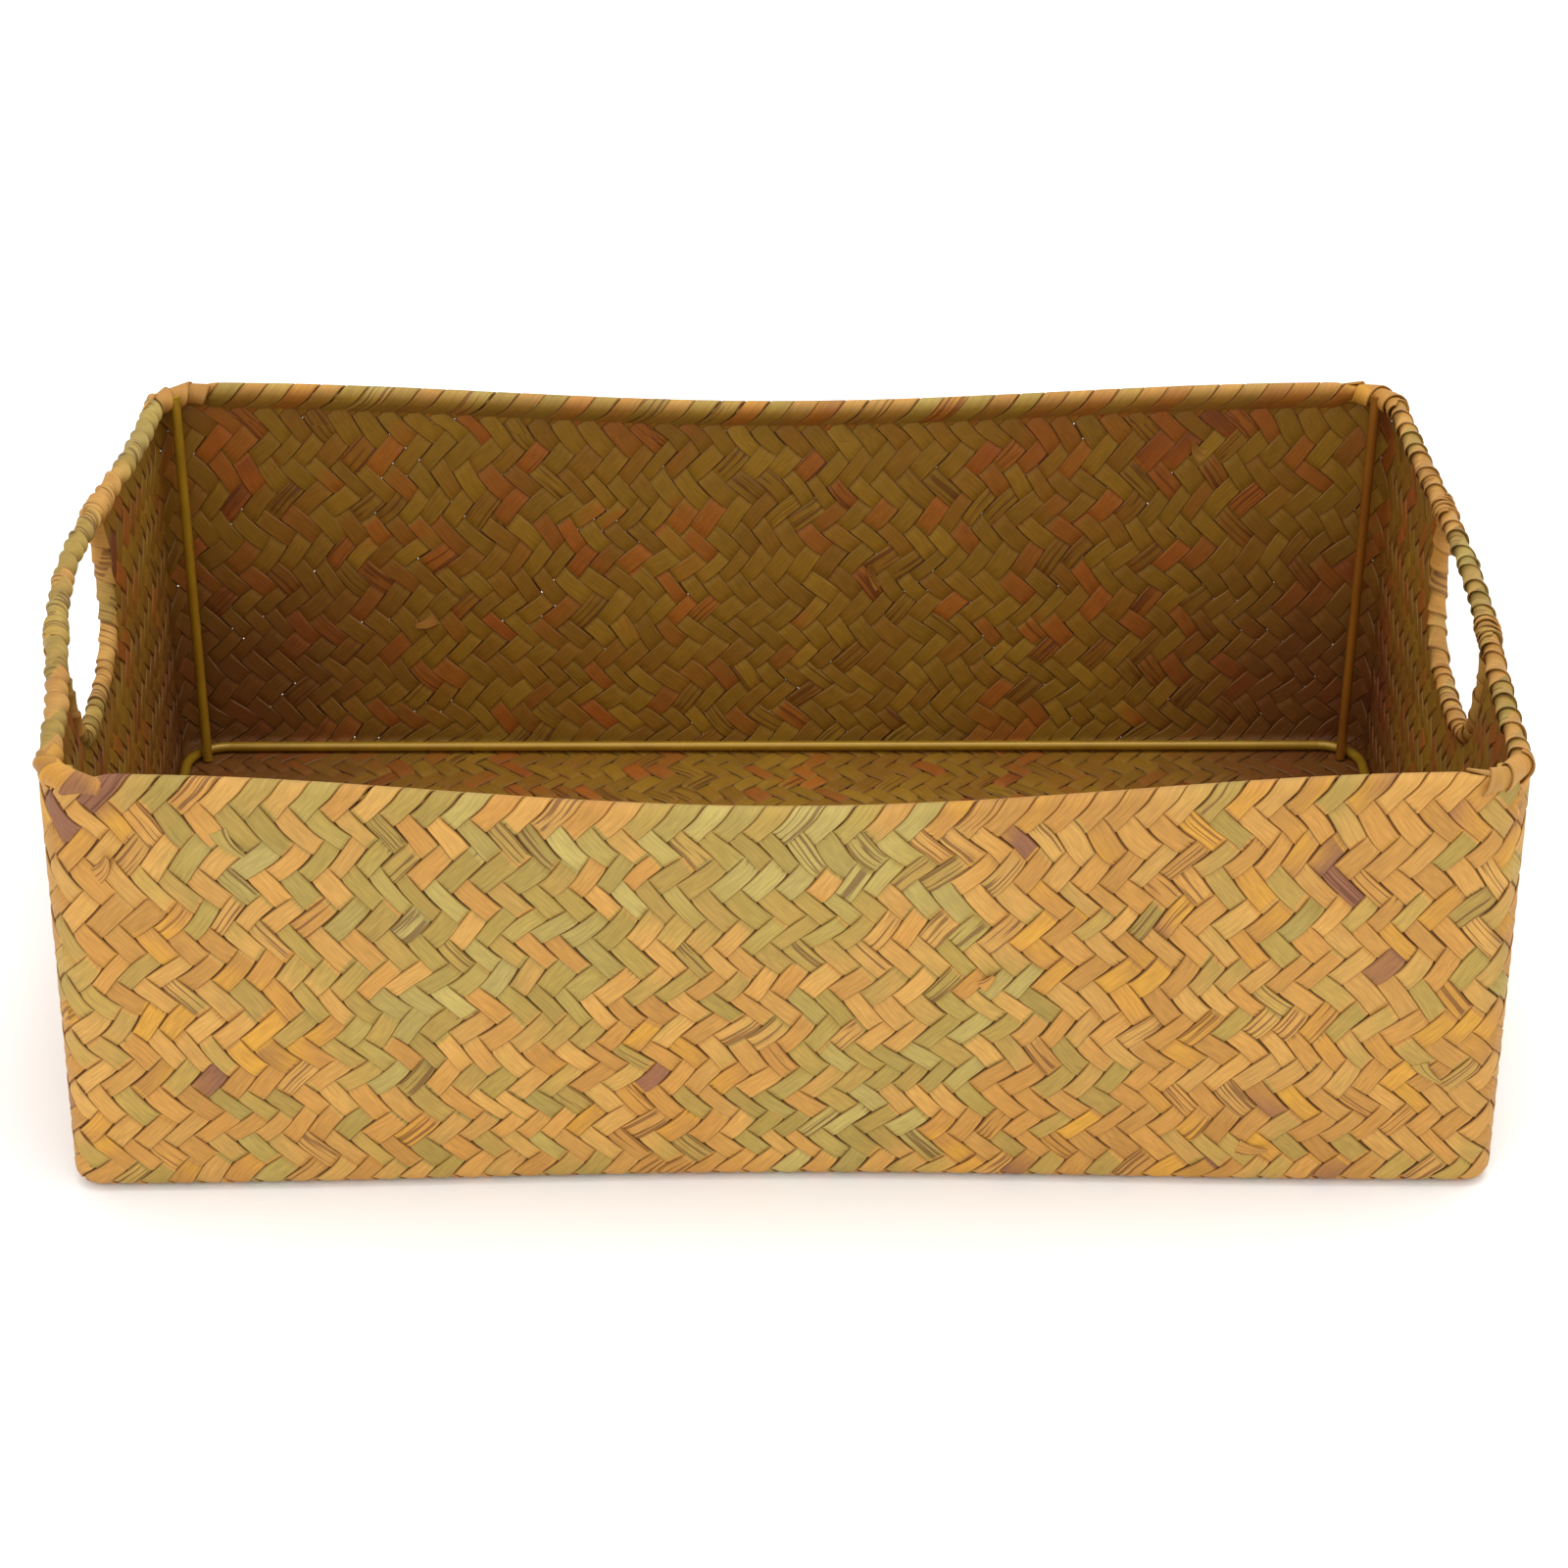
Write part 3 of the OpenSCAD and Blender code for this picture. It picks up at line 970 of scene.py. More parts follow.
def read_values(mesh: bpy.types.Mesh, label: str) -> np.ndarray:
    """Reads a value stored for each of a mesh's points.

    Args:
        mesh: The mesh.
        label: The value's name.

    Returns:
        The value at each point.
    """
    values = np.empty(len(mesh.vertices))
    mesh.attributes[label].data.foreach_get("value", values)
    return values


def store_values(mesh: bpy.types.Mesh, label: str, values: np.ndarray) -> None:
    """Stores a value for each of a mesh's points."""
    attribute = mesh.attributes.new(label, "FLOAT", "POINT")
    attribute.data.foreach_set("value", values.astype(np.float32))


def cut(mesh: bpy.types.Mesh, planes: list[tuple[Vector, Vector]]) -> None:
    """Trims a mesh of closed strands at planes and closes the cut ends.

    Args:
        mesh: The mesh to trim.
        planes: A point and a direction for each plane. What lies on the
            direction's side goes.
    """
    solid = bmesh.new()
    solid.from_mesh(mesh)
    for point, direction in planes:
        parts = solid.verts[:] + solid.edges[:] + solid.faces[:]
        bmesh.ops.bisect_plane(
            solid, geom=parts, plane_co=point, plane_no=direction, clear_outer=True, dist=1e-7
        )
    close(solid)
    solid.to_mesh(mesh)
    solid.free()


def slice_across(mesh: bpy.types.Mesh, rows: np.ndarray) -> None:
    """Cuts a flat mesh along rows, so that its faces can follow a tight bend.

    Args:
        mesh: The mesh to cut.
        rows: The heights up the panel to cut at.
    """
    solid = bmesh.new()
    solid.from_mesh(mesh)
    for row in rows:
        parts = solid.verts[:] + solid.edges[:] + solid.faces[:]
        bmesh.ops.bisect_plane(
            solid, geom=parts, plane_co=(0, float(row), 0), plane_no=(0, 1, 0), dist=1e-6
        )
    solid.to_mesh(mesh)
    solid.free()


def close(solid: bmesh.types.BMesh) -> None:
    """Closes every open end of a mesh."""
    rim = [edge for edge in solid.edges if edge.is_boundary]
    bmesh.ops.holes_fill(solid, edges=rim, sides=0)


def map_strands(mesh: bpy.types.Mesh, across: float) -> None:
    """Gives strands a UV map in metres: along each strand, and across it.

    Args:
        mesh: The strands.
        across: A strand's full width.
    """
    along = read_values(mesh, "along")
    strand = read_values(mesh, "strand") if "strand" in mesh.attributes else np.zeros(len(along))
    section = read_values(mesh, "section")
    place = np.cos(section * 2 * math.pi / SECTION_SIDES) * across / 2
    corners = np.empty(len(mesh.loops), int)
    mesh.loops.foreach_get("vertex_index", corners)
    uv = np.stack([along + strand * UV_STEP[0], place + strand * UV_STEP[1]], -1)[corners]
    layer = mesh.uv_layers.new(name="UVMap")
    layer.data.foreach_set("uv", uv.ravel().astype(np.float32))


def crease(mesh: bpy.types.Mesh) -> None:
    """Keeps the edges of each strand's flat faces, and of its cut ends, crisp.

    Args:
        mesh: The strands.
    """
    mesh.set_sharp_from_angle(angle=CRISP_ANGLE)
    section = read_values(mesh, "section")
    ends = np.empty(len(mesh.edges) * 2, int)
    mesh.edges.foreach_get("vertices", ends)
    first, second = section[ends.reshape(-1, 2)].T
    same_corner = np.abs(first - second) < 0.01
    bevel = np.isin(np.round(first), INNER_FACE + OUTER_FACE) & same_corner
    if "sharp_edge" not in mesh.attributes:
        mesh.attributes.new("sharp_edge", "BOOLEAN", "EDGE")
    sharp = mesh.attributes["sharp_edge"].data
    steep = np.empty(len(mesh.edges), bool)
    sharp.foreach_get("value", steep)
    sharp.foreach_set("value", bevel | steep)


def lay(mesh: bpy.types.Mesh, place: Callable[[np.ndarray], np.ndarray]) -> None:
    """Moves a flat mesh's points to where a mapping lays them.

    Args:
        mesh: The flat mesh.
        place: The mapping, from rows of flat points to rows of x, y and z.
    """
    mesh.vertices.foreach_set("co", place(read_points(mesh)).ravel())
    mesh.polygons.foreach_set("use_smooth", np.ones(len(mesh.polygons), bool))
    crease(mesh)
    mesh.update()


def gather(name: str, meshes: list[bpy.types.Mesh]) -> bpy.types.Object:
    """Joins meshes into one object at the origin.

    Args:
        name: The object's name.
        meshes: What it is made of.

    Returns:
        The object.
    """
    objects = []
    for mesh in meshes:
        piece = bpy.data.objects.new(name, mesh)
        bpy.context.scene.collection.objects.link(piece)
        objects.append(piece)
    if len(objects) > 1:
        with bpy.context.temp_override(
            active_object=objects[0], object=objects[0], selected_editable_objects=objects
        ):
            bpy.ops.object.join()
    objects[0].name = name
    return objects[0]


def hand_over(piece: bpy.types.Object, node: str) -> None:
    """Fixes a piece to the basket in place of a CAD node, and reports it.

    Args:
        piece: The finished piece.
        node: The CAD node that it stands for.
    """
    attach(piece, BODY)
    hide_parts(node)
    triangles = sum(len(face.vertices) - 2 for face in piece.data.polygons)
    LOG.info("%s: %d triangles, for %s", piece.name, triangles, node)


class Lean(Enum):
    """The two sets of a plait's strands."""

    RIGHT = 1.0
    LEFT = -1.0


@dataclass(frozen=True)
class LooseEnd:
    """A strand's cut end that has worked free of the plait."""

    side: Side
    along: float
    up: float
    heading: float
    length: float = 9 * MM
    inside: bool = False
    steps: int = 9
    # Half its width and thickness as shares of a strand's, and how much it narrows
    slimness: float = 0.42
    thinness: float = 0.3
    taper: float = 0.7
    # How it stands off, curls and turns, and the share of it that is still tucked in
    lift: float = 0.35 * MM
    curl: float = 2.2 * MM
    turn: float = 0.5
    tucked: float = 0.15

    def build(self, gauge: StrandGauge, material: bpy.types.Material) -> bpy.types.Mesh:
        """Builds the end as a tapered strand that curls away from the flat panel.

        Args:
            gauge: The strands' sizes.
            material: Their finish.

        Returns:
            The end, still flat, with its colour values.
        """
        grid = np.meshgrid(np.arange(self.steps), np.arange(SECTION_SIDES), indexing="ij")
        step, section = (values.ravel() for values in grid)
        share = step / (self.steps - 1)
        angle = section * 2 * math.pi / SECTION_SIDES
        broad = np.sign(np.cos(angle)) * np.abs(np.cos(angle)) ** FLATTENING
        across = broad * gauge.width * self.slimness * (1 - self.taper * share)
        out = -1 if self.inside else 1
        lift = gauge.lift + self.lift + self.curl * share**2
        turn = math.radians(self.heading) + self.turn * share
        run = self.length * (share - self.tucked)
        points = np.stack([
            self.along + run * np.cos(turn) - across * np.sin(turn),
            self.up + run * np.sin(turn) + across * np.cos(turn),
            out * (lift - np.sin(angle) * gauge.thickness * self.thinness),
        ], -1)
        rings = np.arange(self.steps * SECTION_SIDES).reshape(self.steps, SECTION_SIDES).tolist()
        faces = [
            (low[k], low[(k + 1) % SECTION_SIDES], high[(k + 1) % SECTION_SIDES], high[k])
            for low, high in zip(rings, rings[1:]) for k in range(SECTION_SIDES)
        ]
        mesh = bpy.data.meshes.new("loose end")
        mesh.from_pydata(points.tolist(), [], [*faces, rings[0][::-1], rings[-1]])
        solid = bmesh.new()
        solid.from_mesh(mesh)
        bmesh.ops.recalc_face_normals(solid, faces=solid.faces[:])
        solid.to_mesh(mesh)
        solid.free()
        edge = np.isin(section, EDGES)
        flat = np.ones(len(section))
        for label, values in (
            ("along", share * self.length + self.along), ("section", section), ("strand", 0 * flat),
            ("row", 0 * flat), ("tone", (0.2 + 0.5 * chance(self.along)) * flat), ("shade", flat),
            # Inside ends take part of the darker inner colour with its painted shade, and painted shade
            # along their edges
            ("frayed", flat), ("within", self.inside * 0.6 * flat), ("crevice_shade", 0.7 * edge),
            ("low_corner_share", 0 * flat),
        ):
            store_values(mesh, label, values)
        map_strands(mesh, gauge.width)
        mesh.materials.append(material)
        return mesh


@dataclass
class PlaitedShell:
    """The base mat and four walls, as strands over and under each other."""

    shop: Workshop
    seed: int = 11
    # Number of the base's first strand, past all the walls' strands
    base_first: int = 300
    # A strand's own tone, and how far it changes from strand to strand and along each
    tone: tuple[float, float, float] = (0.1, 0.3, 0.6)
    frayed: float = 0.12
    # Darkest shade and how much lighter one may be
    shade: tuple[float, float] = (0.88, 0.18)
    # Painted shade along a strand's edges and where it dips under its neighbours
    edge_shade: float = 0.75
    sunk_shade: float = 0.6
    # The walls' inner faces turn darker and browner towards their low corners: fully up to the first
    # distance, and fading to the second
    low_corner_along: tuple[float, float] = (20 * MM, 95 * MM)
    low_corner_up: tuple[float, float] = (25 * MM, 95 * MM)
    # Strand numbers round the walls, and how much browner or greener their batch of stems is
    batches: tuple[tuple[float, float], ...] = (
        (0, -0.08), (12, -0.08), (18, 0.08), (27, 0.08), (37, -0.2), (49, -0.2), (56, 0.0),
        (130, 0.0), (139, -0.14), (152, -0.14), (STRANDS_ROUND, -0.08),
    )
    loose_ends: tuple[LooseEnd, ...] = (
        LooseEnd(Side.FRONT, 323 * MM, 15 * MM, -30),
        LooseEnd(Side.FRONT, 46 * MM, 108 * MM, -60, 8 * MM),
        LooseEnd(Side.FRONT, 12 * MM, 96 * MM, 35, 7 * MM),
        LooseEnd(Side.FRONT, 250 * MM, 70 * MM, 30, 7 * MM),
        LooseEnd(Side.FRONT, 372 * MM, 42 * MM, -70, 7 * MM),
        LooseEnd(Side.RIGHT, 60 * MM, 50 * MM, 30, 8 * MM),
        LooseEnd(Side.RIGHT, 190 * MM, 84 * MM, -45, 8 * MM),
        LooseEnd(Side.BACK, 90 * MM, 36 * MM, 40),
        LooseEnd(Side.BACK, 300 * MM, 92 * MM, -50, 8 * MM),
        LooseEnd(Side.BACK, 163 * MM, 62 * MM, 40, 9 * MM, inside=True),
        LooseEnd(Side.BACK, 310 * MM, 48 * MM, -40, 7 * MM, inside=True),
        LooseEnd(Side.BACK, 60 * MM, 100 * MM, 30, 7 * MM, inside=True),
        LooseEnd(Side.LEFT, 70 * MM, 60 * MM, -45, 8 * MM),
        LooseEnd(Side.LEFT, 200 * MM, 30 * MM, 45, 8 * MM),
    )

    def strands(
        self, length: float, low: float, high: float, lean: Lean, fold_row: float, seed: int
    ) -> bpy.types.Mesh:
        """Makes one set of strands, flat.

        Args:
            length: Length of the panel along the rows.
            low: Where the strands start, up the panel.
            high: Where they end.
            lean: Which set.
            fold_row: The row above which right-leaning strands stay outside.
            seed: Picks the strands' small faults.

        Returns:
            The strands, with the numbers that their colours come from.
        """
        form, gauge = self.shop.form, self.shop.gauge
        rise = math.ceil(max(high, 0) / form.pitch) + 1
        count = round(length / form.pitch) + rise + 2
        first = -rise if lean is Lean.RIGHT else -1
        crossings = (high - low) / (form.pitch / 2)
        return self.shop.plait.build(
            Pitch=form.pitch, Low=low, High=high, First=first, Strands=count,
            Steps=round(crossings * gauge.steps_per_crossing) + 1,
            Lean=lean.value, Lift=gauge.lift, Phase=gauge.phase, Fold_Row=fold_row,
            Width=gauge.width, Thickness=gauge.thickness, Wander=gauge.wander,
            Narrowest=gauge.narrowest, Broadest=gauge.broadest, Seed=seed, Material=self.shop.rush,
        )

    def colour(self, mesh: bpy.types.Mesh, lean: Lean, first: int) -> None:
        """Works out each point's tone, shade, painted crevice shade and darker low-corner colour from where
        it lies on its strand.

        Args:
            mesh: The strands, still flat.
            lean: Which set they are.
            first: Number of the panel's first strand in the whole basket.
        """
        gauge = self.shop.gauge
        strand = (read_values(mesh, "strand") + first) % STRANDS_ROUND
        section = np.round(read_values(mesh, "section"))
        row = np.minimum(read_values(mesh, "row"), gauge.fold_row)
        floating = np.floor((row - gauge.phase + 0.5) / 2)
        own = chance(strand, self.seed, lean.value)
        spot = chance(strand, floating, self.seed + lean.value)
        reach = first + read_points(mesh)[:, 0] / self.shop.form.pitch
        batch = np.interp(reach, *np.array(self.batches).T, right=0.0)
        start, by_strand, by_spot = self.tone
        store_values(mesh, "tone", start + by_strand * own + by_spot * spot + batch)
        darkest, lighter = self.shade
        store_values(mesh, "shade", darkest + lighter * chance(floating, strand, 3.0))
        worn = chance(strand, floating, 8.0 + lean.value) > 1 - self.frayed
        store_values(mesh, "frayed", worn.astype(float))
        inner_face = np.isin(section, INNER_FACE)
        edge = np.isin(section, EDGES)
        # Inner faces get the darker inner colour, which carries painted shade for the basket's inside
        store_values(mesh, "within", np.where(inner_face, 1.0, np.where(edge, 0.5, 0.0)))
        # Painted shade: darker along the edges and where a strand sinks under the others
        middle = np.where(inner_face, -1, 1) * read_points(mesh)[:, 2] / gauge.lift
        sunk = 1 - ease(middle, -0.4, 0.8)
        store_values(mesh, "crevice_shade", np.where(edge, self.edge_shade, self.sunk_shade * sunk))
        store_values(mesh, "low_corner_share", self.low_corner_share(read_points(mesh)))

    def low_corner_share(self, flat: np.ndarray) -> np.ndarray:
        """Says how far each point takes the darker, browner low-corner colour.

        Args:
            flat: Rows of the flat panel's points.

        Returns:
            A share from 0 to 1 for each point.
        """
        u, v, _ = flat.T
        nearest = np.minimum(u, u.max() - u)
        return (1 - ease(nearest, *self.low_corner_along)) * (1 - ease(v, *self.low_corner_up))

    def panel(
        self, length: float, span: tuple[float, float], lean: Lean, first: int, fold_row: float
    ) -> bpy.types.Mesh:
        """Makes one set of strands for a panel, trimmed square and coloured, still flat.

        Args:
            length: Length of the panel along the rows.
            span: Where the strands start and end, up the panel.
            lean: Which set.
            first: Number of the panel's first strand in the whole basket.
            fold_row: The row above which right-leaning strands stay outside.

        Returns:
            The strands.
        """
        low, high = span
        margin = self.shop.form.pitch / 2
        mesh = self.strands(length, low - margin, high + margin, lean, fold_row, self.seed + first)
        cut(mesh, [
            (Vector((0, 0, 0)), Vector((-1, 0, 0))),
            (Vector((length, 0, 0)), Vector((1, 0, 0))),
            (Vector((0, low, 0)), Vector((0, -1, 0))),
            (Vector((0, high, 0)), Vector((0, 1, 0))),
        ])
        self.colour(mesh, lean, first)
        map_strands(mesh, self.shop.gauge.width)
        return mesh

    def build_wall(self, side: Side, node: str) -> bpy.types.Object:
        """Builds a wall, open at its hand opening where it has one.

        Args:
            side: The wall.
            node: The CAD node that it stands for.

        Returns:
            The wall.
        """
        form, gauge = self.shop.form, self.shop.gauge
        meshes = []
        for lean in Lean:
            folds = side.is_long and lean is Lean.RIGHT
            top = gauge.fold_from_row * form.pitch / 2 if folds else form.wall_height
            length, first = form.side_length(side), side.first_strand
            mesh = self.panel(length, (0.0, top), lean, first, gauge.fold_row)
            # Narrow faces follow the turn at the foot
            slice_across(mesh, np.linspace(0, math.pi / 2, 6)[1:] * form.turn_middle_r)
            lay(mesh, lambda flat: form.lay_wall(side, flat))
            meshes.append(mesh)
        for end in self.loose_ends:
            if end.side is side:
                mesh = end.build(gauge, self.shop.rush)
                lay(mesh, lambda flat: form.lay_wall(side, flat))
                meshes.append(mesh)
        wall = gather(node, meshes)
        if not side.is_long:
            self.open_hand_hole(wall.data)
        hand_over(wall, node)
        return wall

    def open_hand_hole(self, mesh: bpy.types.Mesh) -> None:
        """Cuts the strands away inside an end wall's opening.

        Args:
            mesh: The end wall.
        """
        solid = bmesh.new()
        solid.from_mesh(mesh)
        centres = np.array([face.calc_center_median() for face in solid.faces])
        inside = self.shop.form.in_opening(centres[:, 1], centres[:, 2])
        gone = [face for face, lost in zip(solid.faces, inside) if lost]
        bmesh.ops.delete(solid, geom=gone, context="FACES")
        close(solid)
        solid.to_mesh(mesh)
        solid.free()

    def build_base(self) -> list[bpy.types.Object]:
        """Builds the base mat, one piece for each set of strands.

        Returns:
            The two pieces.
        """
        form = self.shop.form
        pieces = []
        for lean in Lean:
            span = (0.0, form.base_width)
            mesh = self.panel(form.base_length, span, lean, self.base_first, NEVER_FOLDS)
            lay(mesh, form.lay_base)
            piece = gather(f"woven_base_{lean.name.lower()}", [mesh])
            hand_over(piece, "woven_base")
            pieces.append(piece)
        return pieces

    def build(self) -> None:
        """Builds the whole shell."""
        for side, node in (
            (Side.FRONT, "woven_front"), (Side.RIGHT, "woven_right_end"),
            (Side.BACK, "woven_back"), (Side.LEFT, "woven_left_end"),
        ):
            self.build_wall(side, node)
        self.build_base()


@dataclass
class FoldedRim:
    """The long rims, where the walls' right-leaning strands fold over the wire."""

    shop: Workshop
    shell: PlaitedShell
    # The fold's middle line: half its breadth, its height, and points outward and up where it tucks in
    half_thick: float = 1.6 * MM
    crest: float = 2.2 * MM
    tuck: tuple[tuple[float, float], ...] = ((-1.3, -1.3), (-0.4, -2.8), (0.6, -4.2), (1.9, -5.6))
    slices: int = 26
    # The corners' lashings press the folds tight to the wire, fully and then less, so far along
    pressed: float = 0.28
    pressed_along: tuple[float, float] = (12 * MM, 17 * MM)
    pressed_from: float = 3 * MM
    # Painted shade on the fold's inside: how far over the wire it starts and is full, and how dark it gets
    painted_shade_over: tuple[float, float] = (5 * MM, 9 * MM)
    darkest: float = 0.75

    def section(self) -> tuple[np.ndarray, np.ndarray]:
        """Gives the fold's middle line in section, and the distance along it.

        Returns:
            Points outward from and above the rim wire, and the length of the
            line up to each.
        """
        angle = np.linspace(0, math.pi, 13)
        over = np.stack([self.half_thick * np.cos(angle), self.crest * np.sin(angle)], -1)
        form = self.shop.form
        start = np.array([[form.rim_inset, -form.roll_start], [1.65 * MM, -1.5 * MM]])
        line = np.concatenate([start, over, np.array(self.tuck) * MM])
        walked = np.concatenate([[0], np.cumsum(np.linalg.norm(np.diff(line, axis=0), axis=1))])
        return line, walked

    def place(self, side: Side, flat: np.ndarray) -> np.ndarray:
        """Lays flat strands up the wall and on over the rim wire.

        Args:
            side: The wall.
            flat: Rows of the flat strands' points.

        Returns:
            Rows of x, y and z.
        """
        form = self.shop.form
        line, walked = self.section()
        facing = np.gradient(line, walked, axis=0)
        facing /= np.linalg.norm(facing, axis=1, keepdims=True)
        u, v, w = flat.T
        on_wall = form.lay_wall(side, np.stack([u, np.minimum(v, form.wall_height), w], -1))
        past = np.maximum(v - form.wall_height, 0)
        out, up, ahead_out, ahead_up = (
            np.interp(past, walked, values) for values in (*line.T, *facing.T)
        )
        length = form.side_length(side)
        pressed = 1 - ease(np.minimum(u, length - u), *self.pressed_along)
        slack = 1 - self.pressed * pressed * ease(past, 0, self.pressed_from)
        out = (out + w * ahead_up) * slack
        up = (up - w * ahead_out) * slack
        run = u / length
        centre_place = form.outline(side, run, np.ones(len(run)), form.rim_inset)[3]
        height = form.rim_z(side, centre_place)
        x, y, _, _ = form.outline(side, run, height / form.rim_height, form.rim_inset - out)
        on_rim = np.stack([x, y, height + up], -1)
        return np.where((past > 0)[:, None], on_rim, on_wall)

    def build(self, side: Side, node: str) -> bpy.types.Object:
        """Builds one long rim's folds.

        Args:
            side: The wall that the rim is on.
            node: The CAD node that they stand for.

        Returns:
            The folds.
        """
        form, gauge = self.shop.form, self.shop.gauge
        _, walked = self.section()
        span = (gauge.fold_from_row * form.pitch / 2, form.wall_height + float(walked[-1]))
        length, first = form.side_length(side), side.first_strand
        mesh = self.shell.panel(length, span, Lean.RIGHT, first, gauge.fold_row)
        slice_across(mesh, np.linspace(form.wall_height - 1 * MM, span[1], self.slices)[:-1])
        # Painted shade: past the crest, the fold's face turns to the darker inner colour, as that side lies
        # in the basket's shadow
        over = read_points(mesh)[:, 1] - form.wall_height
        within = np.maximum(read_values(mesh, "within"), self.darkest * ease(over, *self.painted_shade_over))
        mesh.attributes["within"].data.foreach_set("value", within.astype(np.float32))
        lay(mesh, lambda flat: self.place(side, flat))
        piece = gather(node, [mesh])
        hand_over(piece, node)
        return piece


@dataclass(frozen=True)
class Binding:
    """How tightly and how evenly a strand is wound."""

    outer_r: float
    tone: float = 0.5
    variety: float = 0.3
    split: float = 0.28
    turn_pitch: float = 5.4 * MM
    width: float = 6.1 * MM
    thickness: float = 0.65 * MM
    tilt: float = 0.14
    unevenness: float = 1.3 * MM
    bunching: float = 1.0 * MM


@dataclass
class Winder:
    """Strand wound round a line: grips, corner lashings and opening edges."""

    shop: Workshop
    grip: Binding = Binding(outer_r=2.45 * MM, turn_pitch=7.6 * MM, width=8.4 * MM, tilt=0.1)
    edging: Binding = Binding(outer_r=2.4 * MM, tone=0.4, turn_pitch=6.6 * MM, width=7.3 * MM, tilt=0.1)
    lashing: Binding = Binding(
        outer_r=3.25 * MM, tone=0.27, variety=0.12, split=0.0, turn_pitch=7.0 * MM, width=7.8 * MM,
        unevenness=1.0 * MM,
    )
    lashing_inward: float = 0.3 * MM
    knot: Binding = Binding(
        outer_r=3.2 * MM, turn_pitch=3.0 * MM, width=3.4 * MM, tilt=0.34, unevenness=2.4 * MM,
        bunching=0.5 * MM,
    )
    turn_steps: int = 22
    # Darkest shade and how much lighter a turn may be
    shade: tuple[float, float] = (0.84, 0.24)
    # Least painted shade under a turn's edge, and how much more there may be
    edge_shade: tuple[float, float] = (0.2, 0.6)
    face_darkening: float = 0.04
    darkness: float = 0.1
    grip_seed: int = 31
    edging_seed: int = 41
    lashing_seed: int = 51
    knot_seed: int = 60
    # A change of stem every few turns gives the next ones another tone
    turns_a_stem: int = 3
    # The grip's winding starts under the lashing, this share of the way round the corner
    grip_from: float = 0.55
    # Half a knot's length, as a share of the end
    knot_half: float = 0.024
    # The edging's ends reach up into the grip
    edging_lead: float = 2.0 * MM
    held_end: float = 8 * MM
    bunch_lengths: tuple[float, float] = (2.9 * MM, 4.3 * MM)

    def wind(self, route: Route, binding: Binding, seed: int) -> bpy.types.Mesh:
        """Winds a strand along a route.

        Args:
            route: The line that it goes round.
            binding: The strand's size and how it lies.
            seed: Picks the winding's small faults.

        Returns:
            The winding.
        """
        mesh = self.shop.winding.build(
            Length=route.length, Radius=binding.outer_r - binding.thickness / 2,
            Turn_Pitch=binding.turn_pitch, Turn_Steps=self.turn_steps, Width=binding.width,
            Thickness=binding.thickness, Overlap_Tilt=binding.tilt,
            Unevenness=binding.unevenness, Seed=seed, Material=self.shop.rush,
        )
        turn = np.floor(read_values(mesh, "along") / (2 * math.pi * binding.outer_r))
        batch = chance(np.floor(turn / self.turns_a_stem), seed) + chance(turn, seed) - 0.5
        store_values(mesh, "tone", binding.tone + binding.variety * batch)
        darkest, lighter = self.shade
        store_values(mesh, "shade", darkest + lighter * chance(turn, seed, 5.0))
        store_values(mesh, "frayed", (chance(turn, seed, 7.0) < binding.split).astype(float))
        section = np.round(read_values(mesh, "section"))
        edge = np.isin(section, EDGES)
        store_values(mesh, "within", np.full(len(section), self.darkness))
        # Painted shade under each turn's edges, and a faint darkening over its faces
        least, more = self.edge_shade
        darkening = least + more * chance(turn, seed, 9.0)
        store_values(mesh, "crevice_shade", np.where(edge, darkening, self.face_darkening))
        map_strands(mesh, binding.width)
        lay(mesh, lambda flat: route.lay(self.bunched(flat, route.length, binding.bunching, seed)))
        return mesh

    def bunched(self, flat: np.ndarray, length: float, shift: float, seed: int) -> np.ndarray:
        """Crowds some turns of a straight winding and spreads others, but not at its ends.

        Args:
            flat: Rows of the straight winding's points.
            length: The winding's length.
            shift: How far a turn moves.
            seed: Picks the turns.

        Returns:
            The points, moved along the winding.
        """
        distance = flat[:, 2]
        held = ease(distance, 0, self.held_end) * ease(length - distance, 0, self.held_end)
        short, long = self.bunch_lengths
        wave = np.sin(distance / short + seed) + 0.8 * np.sin(distance / long + 2 * seed)
        return flat + np.stack([0 * wave, 0 * wave, shift * held * wave], -1)

    def build_grip(self, side: Side, end: str, seed: int) -> None:
        """Winds a grip, with a few crossed turns where the opening's edge meets it.

        Args:
            side: The end that the grip is on.
            end: The end's name.
            seed: Picks the winding's small faults.
        """
        form = self.shop.form
        corner = form.corner_run(side) * self.grip_from
        up = Vector((0, 0, 1))
        turns = [self.wind(Route(form.rim_line(side, corner, 1 - corner, 160), up), self.grip, seed)]
        reach = form.opening_half / form.base_width
        for number, place in enumerate((0.5 - reach, 0.5 + reach)):
            low, high = place - self.knot_half, place + self.knot_half
            short = Route(form.rim_line(side, low, high, 12), up)
            turns.append(self.wind(short, self.knot, seed + self.knot_seed + number))
        node = f"{end}_grip_winding"
        hand_over(gather(node, turns), node)

    def build_edging(self, side: Side, end: str, seed: int) -> None:
        """Winds the edge of a hand opening.

        Args:
            side: The end that the opening is in.
            end: The end's name.
            seed: Picks the winding's small faults.
        """
        edge = self.shop.form.opening_line(side, 121)
        lead = np.array([0, 0, self.edging_lead])
        edge = np.concatenate([[edge[0] + lead], edge, [edge[-1] + lead]])
        facing = Vector((1, 0, 0)) if side is Side.RIGHT else Vector((-1, 0, 0))
        node = f"{end}_edging_winding"
        mesh = self.wind(Route(edge, facing), self.edging, seed)
        hand_over(gather(node, [mesh]), node)

